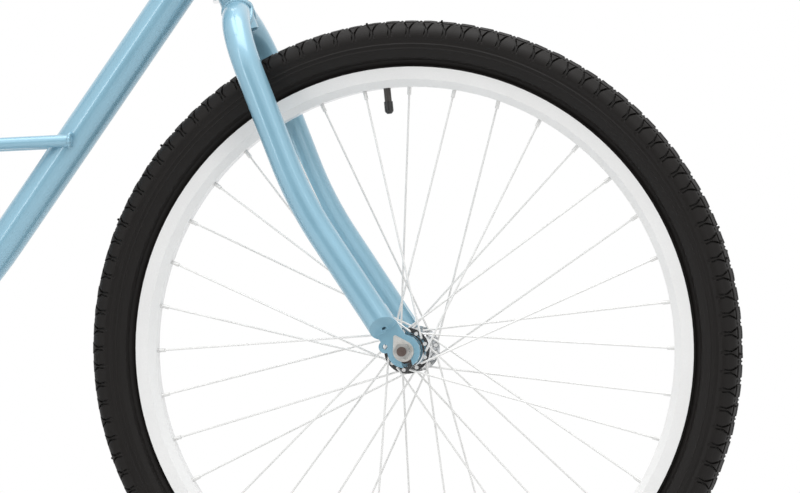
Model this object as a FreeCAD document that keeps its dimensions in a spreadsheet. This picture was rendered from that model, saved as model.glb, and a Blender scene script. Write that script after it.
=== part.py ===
import FreeCAD, Part
import math
import os
import re
import Sketcher
from FreeCAD import Placement, Rotation, Vector

# Beach cruiser bicycle with a coaster brake, in millimetres.
# X points forward, Y to the rider's left, Z up; the origin is on the ground midway between the wheel centres.

SIZES = (
    ("wheelbase", "1090", "distance between the wheel centres"),
    ("steer_lean", "21.5", "lean of the steering axis from the vertical, degrees"),
    ("fork_offset", "42.7", "from the steering axis to the front wheel centre"),
    ("running_gap", "0.05", "radial clearance of a turning or sliding fit"),
    ("free_gap", "0.4", "clearance between pieces that pass each other"),
    ("tyre_radius", "333", "outer radius of the tyres"),
    ("tyre_width", "54", "width of the tyres"),
    ("tyre_wall", "3", "thickness of the tyre casing"),
    ("tread_half", "20", "half the width of the tread"),
    ("tread_drop", "4.6", "fall of the tread from its crown to its edge"),
    ("tread_curve", "46", "radius of the tread across the crown"),
    ("shoulder_curve", "16", "radius of the tyre shoulder"),
    ("side_curve", "25", "radius of the tyre side wall"),
    ("bead_gap", "0.4", "between the tyre bead and the rim wall"),
    ("bead_thick", "3.2", "thickness of the tyre bead"),
    ("tube_wall", "1.2", "wall of the inner tube"),
    ("tyre_height", "47.5", "from the rim's outer edge out to the tread"),
    ("rim_radius", "=tyre_radius - tyre_height", "outer edge of the rim"),
    ("rim_width", "29", "width of the rim"),
    ("rim_side", "12.5", "height of the rim's side face"),
    ("rim_draft", "1", "slope of the rim's side face"),
    ("rim_depth", "19.7", "height of the rim section"),
    ("rim_floor", "14", "width of the rim's inner face"),
    ("rim_wall", "1.8", "thickness of the rim"),
    ("spoke_count", "36", "spokes in a wheel, a multiple of four"),
    ("spoke_phase", "0.65", "angle of the first spoke nipple, degrees"),
    ("spoke_cross", "60", "angle that a spoke spans between hub and rim, degrees"),
    ("spoke_radius", "1", "radius of the spoke wire"),
    ("nipple_radius", "2", "radius of the spoke nipples"),
    ("nipple_length", "8", "nipple length that shows inside the rim"),
    ("flange_lean", "1.1", "extra stand-off of a spoke on a flange's outer face"),
    ("nipple_gap", "0.3", "radial clearance of a nipple in the rim"),
    ("valve_radius", "3.6", "radius of the valve stem"),
    ("valve_show", "13.6", "valve stem that shows below its cap"),
    ("valve_cap_radius", "4.5", "radius of the valve cap"),
    ("valve_cap_length", "12.4", "length of the valve cap"),
    ("front_flange_radius", "23.2", "radius of the front hub flanges"),
    ("front_flange_half", "30", "from the wheel centre to a front flange"),
    ("front_hole_circle", "19.6", "radius of the circle of spoke holes"),
    ("flange_thick", "3", "thickness of the hub flanges"),
    ("front_barrel_radius", "13", "radius of the front hub barrel"),
    ("front_boss_radius", "17", "radius of the front hub ends"),
    ("front_boss_half", "37", "half the length of the front hub shell"),
    ("front_race_radius", "12.9", "radius of the front bearing seats"),
    ("front_race_depth", "7", "depth of the front bearing seats"),
    ("front_cone_radius", "7.6", "radius of the front cones"),
    ("front_ball_radius", "2.5", "radius of the front bearing balls"),
    ("front_axle_radius", "4.75", "radius of the front axle"),
    ("front_axle_half", "63", "half the length of the front axle"),
    ("front_drop_half", "46", "from the middle to a front dropout's inner face"),
    ("front_drop_thick", "4.5", "thickness of the front dropouts"),
    ("front_drop_radius", "16.5", "radius of the dropout's round end"),
    ("eyelet_radius", "2.55", "radius of the fender eyelet holes"),
    ("eyelet_rim", "6.4", "outer radius of the eyelets"),
    ("eyelet_back", "18.9", "from the front axle back to its eyelet"),
    ("eyelet_up", "4.2", "from the front axle up to its eyelet"),
    ("slot_lean", "16", "forward lean of the front dropouts' slots, degrees"),
    ("washer_thick", "2", "thickness of the tab washers"),
    ("washer_radius", "10.5", "outer radius of the tab washers"),
    ("tab_reach", "16.4", "from the axle to the tip of a washer's tab"),
    ("tab_turn", "120", "direction of a washer's tab from straight ahead, degrees"),
    ("tab_tip", "1.8", "radius of the tip of a washer's tab"),
    ("nut_flats", "15", "width across flats of the front axle nuts"),
    ("nut_height", "8.5", "height of the axle nuts"),
    ("blade_radius", "14.3", "radius of the fork blades"),
    ("blade_wall", "1.6", "wall of the fork blades"),
    ("drain_radius", "2.2", "radius of the drain hole in a blade tip"),
    ("blade_half", "55", "from the middle to a fork blade"),
    ("blade_tip_forward", "33.3", "blade tip ahead of the steering axis"),
    ("blade_tip_up", "28.3", "blade tip above the wheel centre, along the axis"),
    ("tip_slant", "35", "slant of the closed blade tip, degrees"),
    ("blade_sweep", "12.5", "forward sweep of the blade tip, degrees"),
    ("blade_sweep_curve", "400", "radius of the forward bend"),
    ("crown_curve", "65", "radius of the bend at the crown"),
    ("crown_set", "12", "from the tyre's radius in to the start of the crown bend"),
    ("crown_start", "=tyre_radius - crown_set", "height along the axis where the crown bend starts"),
    ("crown_rise", "43", "from the start of the crown bend up to the steerer"),
    ("steerer_low", "=crown_start + crown_rise", "lower end of the steerer along its axis"),
    ("steerer_radius", "14.3", "outer radius of the steerer"),
    ("steerer_bore", "12.8", "inner radius of the steerer"),
    ("race_rise", "40", "from the steerer's lower end up to the lower headset cone"),
    ("crown_race_low", "=steerer_low + race_rise", "seat of the lower headset cone"),
    ("race_room", "16", "from the seat of the lower cone up to the head tube"),
    ("head_low", "=crown_race_low + race_room", "lower end of the head tube along the axis"),
    ("head_length", "143", "length of the head tube"),
    ("head_high", "=head_low + head_length", "upper end of the head tube along the axis"),
    ("steerer_show", "27", "steerer length above the head tube"),
    ("steerer_high", "=head_high + steerer_show", "upper end of the steerer along its axis"),
    ("head_radius", "18", "outer radius of the head tube"),
    ("head_bore", "16", "inner radius of the head tube"),
    ("cup_radius", "21.5", "outer radius of the headset cups"),
    ("cup_height", "11", "height of a headset cup outside the head tube"),
    ("cup_insert", "8", "length of a headset cup inside the head tube"),
    ("head_ball_radius", "2.4", "radius of the headset balls"),
    ("head_ball_circle", "17.6", "radius of the headset ball circle"),
    ("locknut_height", "8", "height of the headset locknut"),
    ("locknut_flats", "38", "width across flats of the headset locknut"),
    ("down_radius", "19", "outer radius of the down tube"),
    ("down_rise", "43.6", "down tube's place above the head tube's lower end"),
    ("down_head", "=head_low + down_rise", "where the down tube meets the head tube, along the axis"),
    ("down_share", "0.2197", "place of the down tube's bend, as a share of its span from the bottom bracket"),
    ("down_sag", "0.0733", "depth of the down tube's bend below its span, as a share of it"),
    ("down_bend", "0.755667231", "radius of the down tube's lower bend, as a share of its span"),
    ("top_radius", "17.5", "outer radius of the top tube"),
    ("top_drop", "32", "top tube's place below the head tube's upper end"),
    ("top_head", "=head_high - top_drop", "where the top tube meets the head tube, along the axis"),
    ("top_share", "0.5577", "place of the top tube's bend, as a share of its span from the seat tube"),
    ("top_arch", "0.1138", "height of the top tube's bend above its span, as a share of it"),
    ("top_bend", "1.380872509", "radius of the top tube's bend, as a share of its span"),
    ("top_seat", "405", "top tube height along the seat tube"),
    ("tube_thick", "1.6", "wall of the frame tubes"),
    ("bracket_drop", "43", "from the wheel centres down to the bottom bracket"),
    ("bracket_height", "=tyre_radius - bracket_drop", "height of the bottom bracket"),
    ("bracket_radius", "28.5", "outer radius of the bottom bracket shell"),
    ("bracket_bore", "25.5", "inner radius of the bottom bracket shell"),
    ("bracket_width", "68", "width of the bottom bracket shell"),
    ("seat_lean", "22", "lean of the seat tube from the vertical, degrees"),
    ("seat_radius", "14.3", "outer radius of the seat tube"),
    ("seat_bore", "12.8", "inner radius of the seat tube"),
    ("seat_length", "449", "seat tube length from the bottom bracket"),
    ("post_radius", "12.75", "outer radius of the seat post"),
    ("post_wall", "1.6", "wall of the seat post"),
    ("post_low", "330", "lower end of the seat post along the seat tube"),
    ("post_high", "600", "upper end of the seat post along the seat tube"),
    ("post_neck_radius", "11.1", "radius of the seat post's narrow top"),
    ("post_neck_length", "48", "length of the seat post's narrow top"),
    ("stay_radius", "6.35", "outer radius of the cantilever stays"),
    ("stay_wall", "1.2", "wall of the cantilever stays"),
    ("stay_front_run", "247.7", "from the head tube along the down tube to the cantilever stays"),
    ("stay_front_lift", "1.6", "cantilever stays' front end ahead of the down tube's middle line"),
    ("chainstay_radius", "8", "outer radius of the chainstays"),
    ("rear_drop_half", "55", "from the middle to a rear dropout's inner face"),
    ("rear_drop_thick", "5", "thickness of the rear dropouts"),
    ("rear_axle_radius", "5", "radius of the rear axle"),
    ("rear_axle_half", "74", "half the length of the rear axle"),
    ("rear_flange_radius", "32", "radius of the rear hub flanges"),
    ("rear_flange_half", "28.5", "from the wheel centre to a rear flange"),
    ("rear_hole_circle", "28", "radius of the circle of spoke holes in the rear hub"),
    ("rear_barrel_radius", "20", "radius of the rear hub barrel"),
    ("rear_bore_radius", "13", "bore of the rear hub shell"),
    ("driver_radius", "16", "radius of the driver that carries the cog"),
    ("driver_bore", "8.05", "bore of the driver"),
    ("chain_pitch", "12.7", "pitch of the chain"),
    ("wheel_room", "153",
     "from the tyre's radius out to the bottom bracket, before the chain is drawn tight"),
    ("chain_line", "44", "from the middle plane to the chain"),
    ("roller_radius", "3.88", "radius of the chain rollers"),
    ("roller_gap", "0.37", "clearance of a roller in the teeth"),
    ("link_width", "3.4", "inner width of the chain"),
    ("link_plate", "1", "thickness of the chain plates"),
    ("link_radius", "4.3", "radius of the link plate ends"),
    ("link_waist", "3.1", "half height of a link plate at its waist"),
    ("pin_radius", "1.8", "radius of the chain pins"),
    ("ring_teeth", "44", "teeth on the chainring"),
    ("cog_teeth", "18", "teeth on the rear cog"),
    ("tooth_height", "4", "tooth tip above the pitch circle"),
    ("tooth_flare", "3.2", "widening of a tooth gap beyond its roller seat"),
    ("tooth_width", "2.8", "thickness of the chainring and cog"),
    ("ring_windows", "6", "windows in the chainring"),
    ("window_inner", "34", "inner radius of the chainring windows"),
    ("window_outer", "74", "outer radius of the chainring windows"),
    ("window_arm", "9", "half the width of the chainring arms"),
    ("crank_length", "165", "crank length"),
    ("crank_angle", "-35", "angle of the right crank from straight ahead, degrees"),
    ("crank_radius", "8.5", "radius of the crank arms"),
    ("crank_root", "62", "from the middle plane to a crank arm's root"),
    ("crank_tip", "74", "from the middle plane to a pedal eye"),
    ("crank_bend", "18", "radius of the bend in the crank"),
    ("spindle_radius", "11", "radius of the crank's bearing length"),
    ("eye_radius", "13", "radius of the pedal eyes"),
    ("eye_thick", "15", "thickness of the pedal eyes"),
    ("pedal_pin", "5", "radius of the pedal spindles"),
    ("pedal_gap", "6", "from a pedal eye to the pedal body"),
    ("pedal_width", "90", "width of a pedal"),
    ("pedal_length", "95", "length of a pedal"),
    ("pedal_height", "24", "thickness of a pedal"),
    ("quill_radius", "12.7", "radius of the stem's quill"),
    ("quill_sink", "83", "length of the quill inside the head tube"),
    ("quill_low", "=head_high - quill_sink", "lower end of the quill along the steering axis"),
    ("clamp_forward", "44.6", "bar clamp ahead of the steering axis"),
    ("clamp_rise", "94", "bar clamp above the head tube"),
    ("clamp_up", "=head_high + clamp_rise", "bar clamp height along the steering axis"),
    ("clamp_radius", "17", "outer radius of the bar clamp"),
    ("clamp_width", "42", "width of the bar clamp"),
    ("bar_radius", "11.1", "outer radius of the handlebar"),
    ("bar_wall", "1.6", "wall of the handlebar"),
    ("grip_radius", "16", "outer radius of the grips"),
    ("grip_length", "130", "length of the grips"),
    ("guard_line", "52", "from the middle plane to the chain guard's inner face"),
    ("guard_thick", "1.2", "thickness of the chain guard"),
    ("stand_radius", "7", "radius of the kickstand leg"),
    ("stand_length", "345", "length of the kickstand leg"),
    ("stand_pin", "5", "radius of the kickstand's pivot pin"),
    ("wire_radius", "3.5", "radius of the saddle rails"),
    ("rail_half", "22", "from the middle plane to a saddle rail"),
    ("rail_up", "11", "saddle rails above the saddle's tilt axis"),
    ("core_radius", "16.1", "outer radius of the saddle clamp's core"),
    ("cheek_cover", "3", "metal of the saddle clamp round a rail"),
    ("saddle_bolt_radius", "4", "radius of the saddle clamp's cross bolt"),
    ("saddle_bolt_flats", "13", "width across flats of the saddle clamp's bolt"),
    ("spring_radius", "15", "coil radius of the saddle springs"),
    ("spring_wire", "2.6", "wire radius of the saddle springs"),
    ("spring_height", "56", "height of the saddle springs"),
    ("spring_turns", "5", "turns of the saddle springs"),
    ("saddle_rise", "42", "from the saddle clamp up to the cushion"),
    ("saddle_thick", "50", "thickness of the saddle cushion"),
    ("saddle_width", "240", "width of the saddle"),
    ("saddle_back", "118", "from the saddle clamp back to the saddle's rear edge"),
    ("saddle_nose", "165", "from the saddle clamp forward to the nose"),
    ("nose_half", "29", "half the width of the saddle's nose"),
)

doc = FreeCAD.newDocument("BeachCruiser")
dim = doc.addObject("Spreadsheet::Sheet", "dim")
for row, (alias, number, note) in enumerate(SIZES, start=1):
    dim.set(f"A{row}", note)
    dim.set(f"B{row}", number)
    dim.setAlias(f"B{row}", alias)
doc.recompute()

ALIASES = {alias for alias, number, note in SIZES}
nodes = []


def bound(text):
    """The expression with each size named as a cell of the sheet."""
    return re.sub(r"[a-z_]+", lambda word: "dim." + word[0] if word[0] in ALIASES else word[0], text)


def val(text):
    """The number that an expression of sizes gives now."""
    return float(dim.evalExpression(bound(text)))


def bind(thing, **sizes):
    for name, text in sizes.items():
        thing.setExpression(name, bound(text))


def node(label, thing):
    """Names a finished sub-part."""
    thing.Label = label
    nodes.append(thing)
    return thing


def at(x, y, z, rotation=Rotation()):
    return Placement(Vector(x, y, z), rotation)


ALONG_Y = Rotation(Vector(1, 0, 0), -90)
X_TO_Y = Rotation(Vector(0, 0, 1), 90)


def cylinder(name, radius, height, place):
    thing = doc.addObject("Part::Cylinder", name)
    bind(thing, Radius=radius, Height=height)
    thing.Placement = place
    return thing


def box(name, length, width, height, place):
    thing = doc.addObject("Part::Box", name)
    bind(thing, Length=length, Width=width, Height=height)
    thing.Placement = place
    return thing


def hexagon(name, flats, height, place):
    thing = doc.addObject("Part::Prism", name)
    thing.Polygon = 6
    bind(thing, Circumradius=f"({flats}) / sqrt(3)", Height=height)
    thing.Placement = place
    return thing


def ball_ring(name, radius, circle, count, place):
    """Balls on a circle about the local Z axis."""
    balls = []
    for i in range(count):
        ball = doc.addObject("Part::Sphere", name)
        bind(ball, Radius=radius)
        turn = Rotation(Vector(0, 0, 1), 360 * i / count)
        ball.Placement = place.multiply(at(0, 0, 0, turn)).multiply(at(val(circle), 0, 0))
        balls.append(ball)
    return balls


def fuse(name, things):
    thing = doc.addObject("Part::MultiFuse", name)
    thing.Shapes = things
    return thing


def cut(name, base, tools):
    thing = doc.addObject("Part::Cut", name)
    thing.Base = base
    thing.Tool = tools[0] if len(tools) == 1 else group(name + "_tools", tools)
    return thing


def group(name, things):
    thing = doc.addObject("Part::Compound", name)
    thing.Links = things
    return thing


def mirror(name, source):
    """A copy on the other side of the bicycle."""
    thing = doc.addObject("Part::Mirroring", name)
    thing.Source = source
    thing.Normal = Vector(0, 1, 0)
    return thing


def pair(name, source):
    return group(name, [source, mirror(name + "_left", source)])


def attached_sketch(body, name):
    """A sketch on the body's own XY plane."""
    sketch = body.newObject("Sketcher::SketchObject", name)
    plane = [item for item in body.Origin.OriginFeatures if item.Role == "XY_Plane"][0]
    sketch.AttachmentSupport = [(plane, "")]
    sketch.MapMode = "FlatFace"
    return sketch


def draw_loop(sketch, corners):
    """A closed loop.

    A corner is (x, y), or (x, y, radius, side) where an arc leaves it, centred on that side.
    """
    first = sketch.GeometryCount
    starts, ends = [], []
    points = [Vector(val(corner[0]), val(corner[1]), 0) for corner in corners]
    for i, corner in enumerate(corners):
        start, end = points[i], points[(i + 1) % len(points)]
        if len(corner) == 2:
            sketch.addGeometry(Part.LineSegment(start, end), False)
            starts.append(1)
            ends.append(2)
            continue
        radius = val(corner[2])
        run = end - start
        side = 1 if corner[3] == "left" else -1
        rise = math.sqrt(max(radius ** 2 - run.Length ** 2 / 4, 0)) * side
        centre = (start + end) / 2 + Vector(-run.y, run.x, 0) / run.Length * rise
        first_end, last_end = (start, end) if side == 1 else (end, start)
        angles = [math.atan2(point.y - centre.y, point.x - centre.x) for point in (first_end, last_end)]
        circle = Part.Circle(centre, Vector(0, 0, 1), radius)
        sketch.addGeometry(Part.ArcOfCircle(circle, angles[0], angles[1]), False)
        starts.append(1 if side == 1 else 2)
        ends.append(2 if side == 1 else 1)
    count = len(corners)
    for i in range(count):
        after = (i + 1) % count
        sketch.addConstraint(Sketcher.Constraint("Coincident", first + i, ends[i], first + after,
                                                 starts[after]))
    for i, corner in enumerate(corners):
        for kind, text in (("DistanceX", corner[0]), ("DistanceY", corner[1])):
            index = sketch.addConstraint(Sketcher.Constraint(kind, -1, 1, first + i, starts[i], val(text)))
            sketch.setExpression(f"Constraints[{index}]", bound(text))
        if len(corner) == 4:
            index = sketch.addConstraint(Sketcher.Constraint("Radius", first + i, val(corner[2])))
            sketch.setExpression(f"Constraints[{index}]", bound(corner[2]))


def draw_circle(sketch, x, y, radius):
    index = sketch.addGeometry(Part.Circle(Vector(val(x), val(y), 0), Vector(0, 0, 1), val(radius)), False)
    for kind, text in (("DistanceX", x), ("DistanceY", y)):
        number = sketch.addConstraint(Sketcher.Constraint(kind, -1, 1, index, 3, val(text)))
        sketch.setExpression(f"Constraints[{number}]", bound(text))
    number = sketch.addConstraint(Sketcher.Constraint("Radius", index, val(radius)))
    sketch.setExpression(f"Constraints[{number}]", bound(radius))


def turned(name, place, *loops):
    """A revolved body. Loop corners are (along the axis, radius), and the axis is the local X axis."""
    body = doc.addObject("PartDesign::Body", name)
    for loop in loops:
        sketch = attached_sketch(body, name + "_section")
        draw_loop(sketch, loop)
        turn = body.newObject("PartDesign::Revolution", name + "_turn")
        turn.Profile = sketch
        turn.ReferenceAxis = (sketch, ["H_Axis"])
        turn.Angle = 360
    body.Placement = place
    return body


def plate(name, place, thick, outline, circles=()):
    """A padded body, centred on its sketch plane, with round holes (x, y, radius)."""
    body = doc.addObject("PartDesign::Body", name)
    sketch = attached_sketch(body, name + "_outline")
    draw_loop(sketch, outline)
    for circle in circles:
        draw_circle(sketch, *circle)
    pad = body.newObject("PartDesign::Pad", name + "_pad")
    pad.Profile = sketch
    pad.SideType = "Symmetric"
    bind(pad, Length=thick)
    body.Placement = place
    return body


def mirrored_loop(corners):
    """The corners given, then the same corners with x negated in reverse order. Corners carry no arcs."""
    return list(corners) + [(f"-({x})", y) for x, y in reversed(corners)]


def path(name, corners, bends):
    """Straight runs between the corners, joined by tangent arcs of the radii in bends."""
    edges = []
    start = corners[0]
    for i, bend in enumerate(bends, start=1):
        corner = corners[i]
        back = (corners[i - 1] - corner).normalize()
        ahead = (corners[i + 1] - corner).normalize()
        half = (math.pi - back.getAngle(ahead)) / 2
        middle = (back + ahead).normalize()
        reach = bend * math.tan(half)
        first, last = corner + back * reach, corner + ahead * reach
        deepest = corner + middle * (bend / math.cos(half) - bend)
        edges.append(Part.LineSegment(start, first).toShape())
        edges.append(Part.Arc(first, deepest, last).toShape())
        start = last
    edges.append(Part.LineSegment(start, corners[-1]).toShape())
    thing = doc.addObject("Part::Feature", name)
    thing.Shape = Part.Wire(edges)
    return thing


def rod(name, line, radius):
    """A round bar swept along a path."""
    edge = line.Shape.Edges[0]
    circle = doc.addObject("Part::Circle", name + "_circle")
    bind(circle, Radius=radius)
    circle.Placement = Placement(edge.Vertexes[0].Point, Rotation(Vector(0, 0, 1),
                                                                  edge.tangentAt(edge.FirstParameter)))
    sweep = doc.addObject("Part::Sweep", name)
    sweep.Sections = [circle]
    sweep.Spine = (line, [f"Edge{i + 1}" for i in range(len(line.Shape.Edges))])
    sweep.Solid = True
    return sweep


def tube(name, line, radius, wall, tools=()):
    """A hollow tube swept along a path, with its ends shaped to the pieces in tools."""
    outer = rod(name + "_outer", line, radius)
    inner = rod(name + "_inner", line, f"{radius} - ({wall})")
    return cut(name, outer, [inner] + list(tools))


# Main points of the bicycle.
# The steering frame has its Z axis up the steering axis.
# Its origin is level with the front wheel centre along that axis.
lean = math.radians(val("steer_lean"))
steer_up = Vector(-math.sin(lean), 0, math.cos(lean))
steer_ahead = Vector(math.cos(lean), 0, math.sin(lean))
front_hub = Vector(val("wheelbase / 2"), 0, val("tyre_radius"))
rear_hub = Vector(val("-wheelbase / 2"), 0, val("tyre_radius"))
steer_foot = front_hub - steer_ahead * val("fork_offset")
steer = Placement(steer_foot, Rotation(Vector(0, 1, 0), -val("steer_lean")))
steer_axis = Rotation(Vector(0, 1, 0), -90)


def on_steer(up, ahead=0, across=0):
    return steer_foot + steer_up * up + steer_ahead * ahead + Vector(0, across, 0)


def steer_place(up, ahead=0, across=0, rotation=Rotation()):
    return steer.multiply(at(ahead, across, up, rotation))


def pitch_radius(teeth):
    return val("chain_pitch") / 2 / math.sin(math.pi / teeth)


ring_teeth = round(val("ring_teeth"))
cog_teeth = round(val("cog_teeth"))
ring_pitch = pitch_radius(ring_teeth)
cog_pitch = pitch_radius(cog_teeth)


def links_around(centres):
    """Links in a tight chain round both sprockets, and the angle of its straight runs."""
    slant = math.asin((ring_pitch - cog_pitch) / centres)
    run = centres * math.cos(slant) / val("chain_pitch")
    on_ring = (math.pi + 2 * slant) / (2 * math.pi / ring_teeth)
    on_cog = (math.pi - 2 * slant) / (2 * math.pi / cog_teeth)
    return on_ring, run, on_cog, slant


# The chain has a whole number of link pairs, and the bottom bracket lies where they just fill its loop.
on_ring, run, on_cog, slant = links_around(val("tyre_radius + wheel_room"))
chain_links = 2 * round((on_ring + on_cog + 2 * run) / 2)
shortest, longest = ring_pitch + cog_pitch, 2 * val("wheelbase")
for halving in range(60):
    centres = (shortest + longest) / 2
    on_ring, run, on_cog, slant = links_around(centres)
    if on_ring + on_cog + 2 * run > chain_links:
        longest = centres
    else:
        shortest = centres
bracket = Vector(rear_hub.x + math.sqrt(centres ** 2 - val("bracket_drop") ** 2), 0, val("bracket_height"))

seat_tilt = math.radians(val("seat_lean"))
seat_up = Vector(-math.sin(seat_tilt), 0, math.cos(seat_tilt))
seat = Placement(bracket, Rotation(Vector(0, 1, 0), -val("seat_lean")))


def on_seat(up):
    return seat.multiply(at(0, 0, up))


# Frame tubes. Each tube's end is shaped to the tube that it is welded to.
head_outer = cylinder("head_outer", "head_radius", "head_length", steer_place(val("head_low")))
head_inner = cylinder("head_inner", "head_bore", "head_length", steer_place(val("head_low")))
node("head_tube", cut("head_tube", head_outer, [head_inner]))

shell_place = at(bracket.x, val("-bracket_width / 2"), bracket.z, ALONG_Y)
shell_outer = cylinder("shell_outer", "bracket_radius", "bracket_width", shell_place)
shell_inner = cylinder("shell_inner", "bracket_bore", "bracket_width", shell_place)
node("bottom_bracket_shell", cut("bottom_bracket_shell", shell_outer, [shell_inner]))

seat_outer = cylinder("seat_outer", "seat_radius", "seat_length", on_seat(0))
seat_inner = cylinder("seat_inner", "seat_bore", "seat_length", on_seat(0))
seat_slot = box("seat_slot", "seat_radius * 2", "3", "30", on_seat(val("seat_length - 30")).multiply(
    at(val("-seat_radius * 2"), -1.5, 0)))
node("seat_tube", cut("seat_tube", seat_outer, [seat_inner, shell_outer, seat_slot]))


def bend_point(foot, top, share, rise):
    """Corner of a bent tube, placed by shares of its span along the span and square to it."""
    span = top - foot
    return foot + span * share + span.cross(Vector(0, 1, 0)) * rise


down_head = on_steer(val("down_head"))
down_corner = bend_point(bracket, down_head, val("down_share"), val("-down_sag"))
down_direction = (down_corner - down_head).normalize()
down_start = down_head + down_direction * 4
down_curve = (down_head - bracket).Length * val("down_bend")
down_line = path("down_line", [down_start, down_corner, bracket], [down_curve])
down = tube("down_tube", down_line, "down_radius", "tube_thick", [head_outer, shell_outer])
node("down_tube", down)
down_solid = rod("down_solid", down_line, "down_radius")

top_start = on_steer(val("top_head"))
top_end = on_seat(val("top_seat")).Base
top_corner = bend_point(top_end, top_start, val("top_share"), val("top_arch"))
top_inset = (top_corner - top_start).normalize() * 4
top_foot = top_end + seat_up.cross(Vector(0, 1, 0)) * -4
top_curve = (top_start - top_end).Length * val("top_bend")
top_line = path("top_line", [top_start + top_inset, top_corner, top_foot], [top_curve])
node("top_tube", tube("top_tube", top_line, "top_radius", "tube_thick", [head_outer, seat_outer]))

# Twin cantilever stays pass the seat tube and arch down to the rear dropouts.
stay_y = val("seat_radius + stay_radius - 0.3")
stay_front = down_head + down_direction * val("stay_front_run")
stay_front += down_direction.cross(Vector(0, 1, 0)) * val("stay_front_lift")
stay_front.y = -val("down_radius + 2")
stay_pass = stay_front.z - 15
stay_knee = bracket.x - (stay_pass - bracket.z) * math.tan(seat_tilt) - val("seat_radius + 2.5")
stay_corners = [
    stay_front,
    Vector(stay_knee, -stay_y, stay_pass),
    Vector(stay_knee - 110, -45, stay_pass - 53),
    Vector(rear_hub.x + 25, -62, rear_hub.z + 20),
]
stay_line = path("stay_line", stay_corners, [150, 220])
right_stay = tube("right_stay", stay_line, "stay_radius", "stay_wall", [down_solid, seat_outer])

chainstay_corners = [
    Vector(bracket.x - 12, -24, bracket.z + 2),
    Vector(bracket.x - 100, -27, bracket.z + 11),
    Vector(bracket.x - 180, -39, bracket.z + 18),
    Vector(rear_hub.x + 25, -61, rear_hub.z),
]
chainstay_line = path("chainstay_line", chainstay_corners, [180, 260])
right_chainstay = tube("right_chainstay_tube", chainstay_line, "chainstay_radius", "tube_thick",
                       [shell_outer])

# Rear dropouts with a slot that opens backwards and an eyelet above it.
drop_y = val("-rear_drop_half - rear_drop_thick / 2")
drop_place = Placement(Vector(rear_hub.x, drop_y, rear_hub.z), Rotation(Vector(1, 0, 0), 90))
drop_outline = [
    ("38", "-11"), ("38", "9"), ("27", "26"), ("13", "26"), ("4", "17"), ("-30", "13"),
    ("-30", "rear_axle_radius + 0.2"), ("0", "rear_axle_radius + 0.2", "rear_axle_radius + 0.2", "right"),
    ("rear_axle_radius + 0.2", "0", "rear_axle_radius + 0.2", "right"), ("0", "-rear_axle_radius - 0.2"),
    ("-30", "-rear_axle_radius - 0.2"), ("-30", "-13"), ("4", "-16"),
]
right_drop = plate("right_rear_dropout", drop_place, "rear_drop_thick", drop_outline,
                   [("-4", "11", "eyelet_radius")])
node("rear_dropouts", pair("rear_dropouts", right_drop))
right_stay_end = cut("right_cantilever_stay", right_stay, [right_drop])
node("right_cantilever_stay", right_stay_end)
node("left_cantilever_stay", mirror("left_cantilever_stay", right_stay_end))
right_chainstay_end = cut("right_chainstay", right_chainstay, [right_drop])
node("right_chainstay", right_chainstay_end)
node("left_chainstay", mirror("left_chainstay", right_chainstay_end))

# Cross tubes between the stays, one behind the bottom bracket and one behind the seat tube.
chainstay_solid = rod("chainstay_solid", chainstay_line, "chainstay_radius")
stay_solid = rod("stay_solid", stay_line, "stay_radius")
low_bridge = cylinder("low_bridge", "chainstay_radius - 1", "60", at(bracket.x - 108, -30, bracket.z + 11.5,
                                                                     ALONG_Y))
high_bridge = cylinder("high_bridge", "stay_radius", "64", at(stay_knee - 54, -32, stay_pass - 25, ALONG_Y))
bridges = group("bridges", [low_bridge, high_bridge])
node("stay_bridges", cut("stay_bridges", bridges, [
    chainstay_solid, mirror("chainstay_solid_left", chainstay_solid), stay_solid, mirror("stay_solid_left",
            stay_solid)]))

# Headset: cups in the head tube, cones, balls and locknut on the steerer.
ball_low = val("crown_race_low + 2 + head_ball_radius + running_gap")
ball_high = val("head_low + head_length + cup_height - head_ball_radius")
low_cup = turned("low_cup", steer_place(val("head_low"), rotation=steer_axis), [
    ("-cup_height + head_ball_radius - 1.2", "head_ball_circle + head_ball_radius + running_gap"),
    ("-cup_height + head_ball_radius - 1.2", "cup_radius"), ("0", "cup_radius"), ("0", "head_bore"),
    ("cup_insert", "head_bore"), ("cup_insert", "steerer_radius + free_gap"),
    ("-cup_height + head_ball_radius + 2.6", "steerer_radius + free_gap"),
    ("-cup_height + head_ball_radius + 2.6", "head_ball_circle + head_ball_radius + running_gap"),
])
high_cup = turned("high_cup", steer_place(val("head_low + head_length"), rotation=steer_axis), [
    ("-cup_insert", "steerer_radius + free_gap"), ("-cup_insert", "head_bore"), ("0", "head_bore"),
    ("0", "cup_radius"), ("cup_height + 1", "cup_radius"),
    ("cup_height + 1", "head_ball_circle + head_ball_radius + running_gap"),
    ("cup_height - 2 * head_ball_radius - running_gap", "head_ball_circle + head_ball_radius + running_gap"),
    ("cup_height - 2 * head_ball_radius - running_gap", "steerer_radius + free_gap"),
])
node("headset_cups", group("headset_cups", [low_cup, high_cup]))
low_cone = turned("low_cone", steer_place(val("crown_race_low"), rotation=steer_axis), [
    ("0", "steerer_radius"), ("0", "cup_radius - 1.5"), ("1.4", "cup_radius - 1"), ("2", "cup_radius - 1.8"),
    ("2", "steerer_radius + 0.7"), ("4", "steerer_radius + 0.7"), ("4", "steerer_radius"),
])
cone_seat = val("head_low + head_length + cup_height + running_gap")
high_cone = turned("high_cone", steer_place(cone_seat, rotation=steer_axis), [
    ("-2", "steerer_radius"), ("-2", "steerer_radius + 0.7"), ("0", "steerer_radius + 0.7"),
    ("0", "head_ball_circle + head_ball_radius - 0.3"), ("1.6", "head_ball_circle + head_ball_radius - 0.3"),
    ("1.6", "cup_radius"), ("6", "cup_radius - 1.5"), ("6", "steerer_radius"),
])
locknut = cut("headset_locknut", hexagon("locknut_hexagon", "locknut_flats", "locknut_height",
                                         steer_place(cone_seat + 6)),
              [cylinder("locknut_bore", "steerer_radius", "locknut_height", steer_place(cone_seat + 6))])
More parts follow.
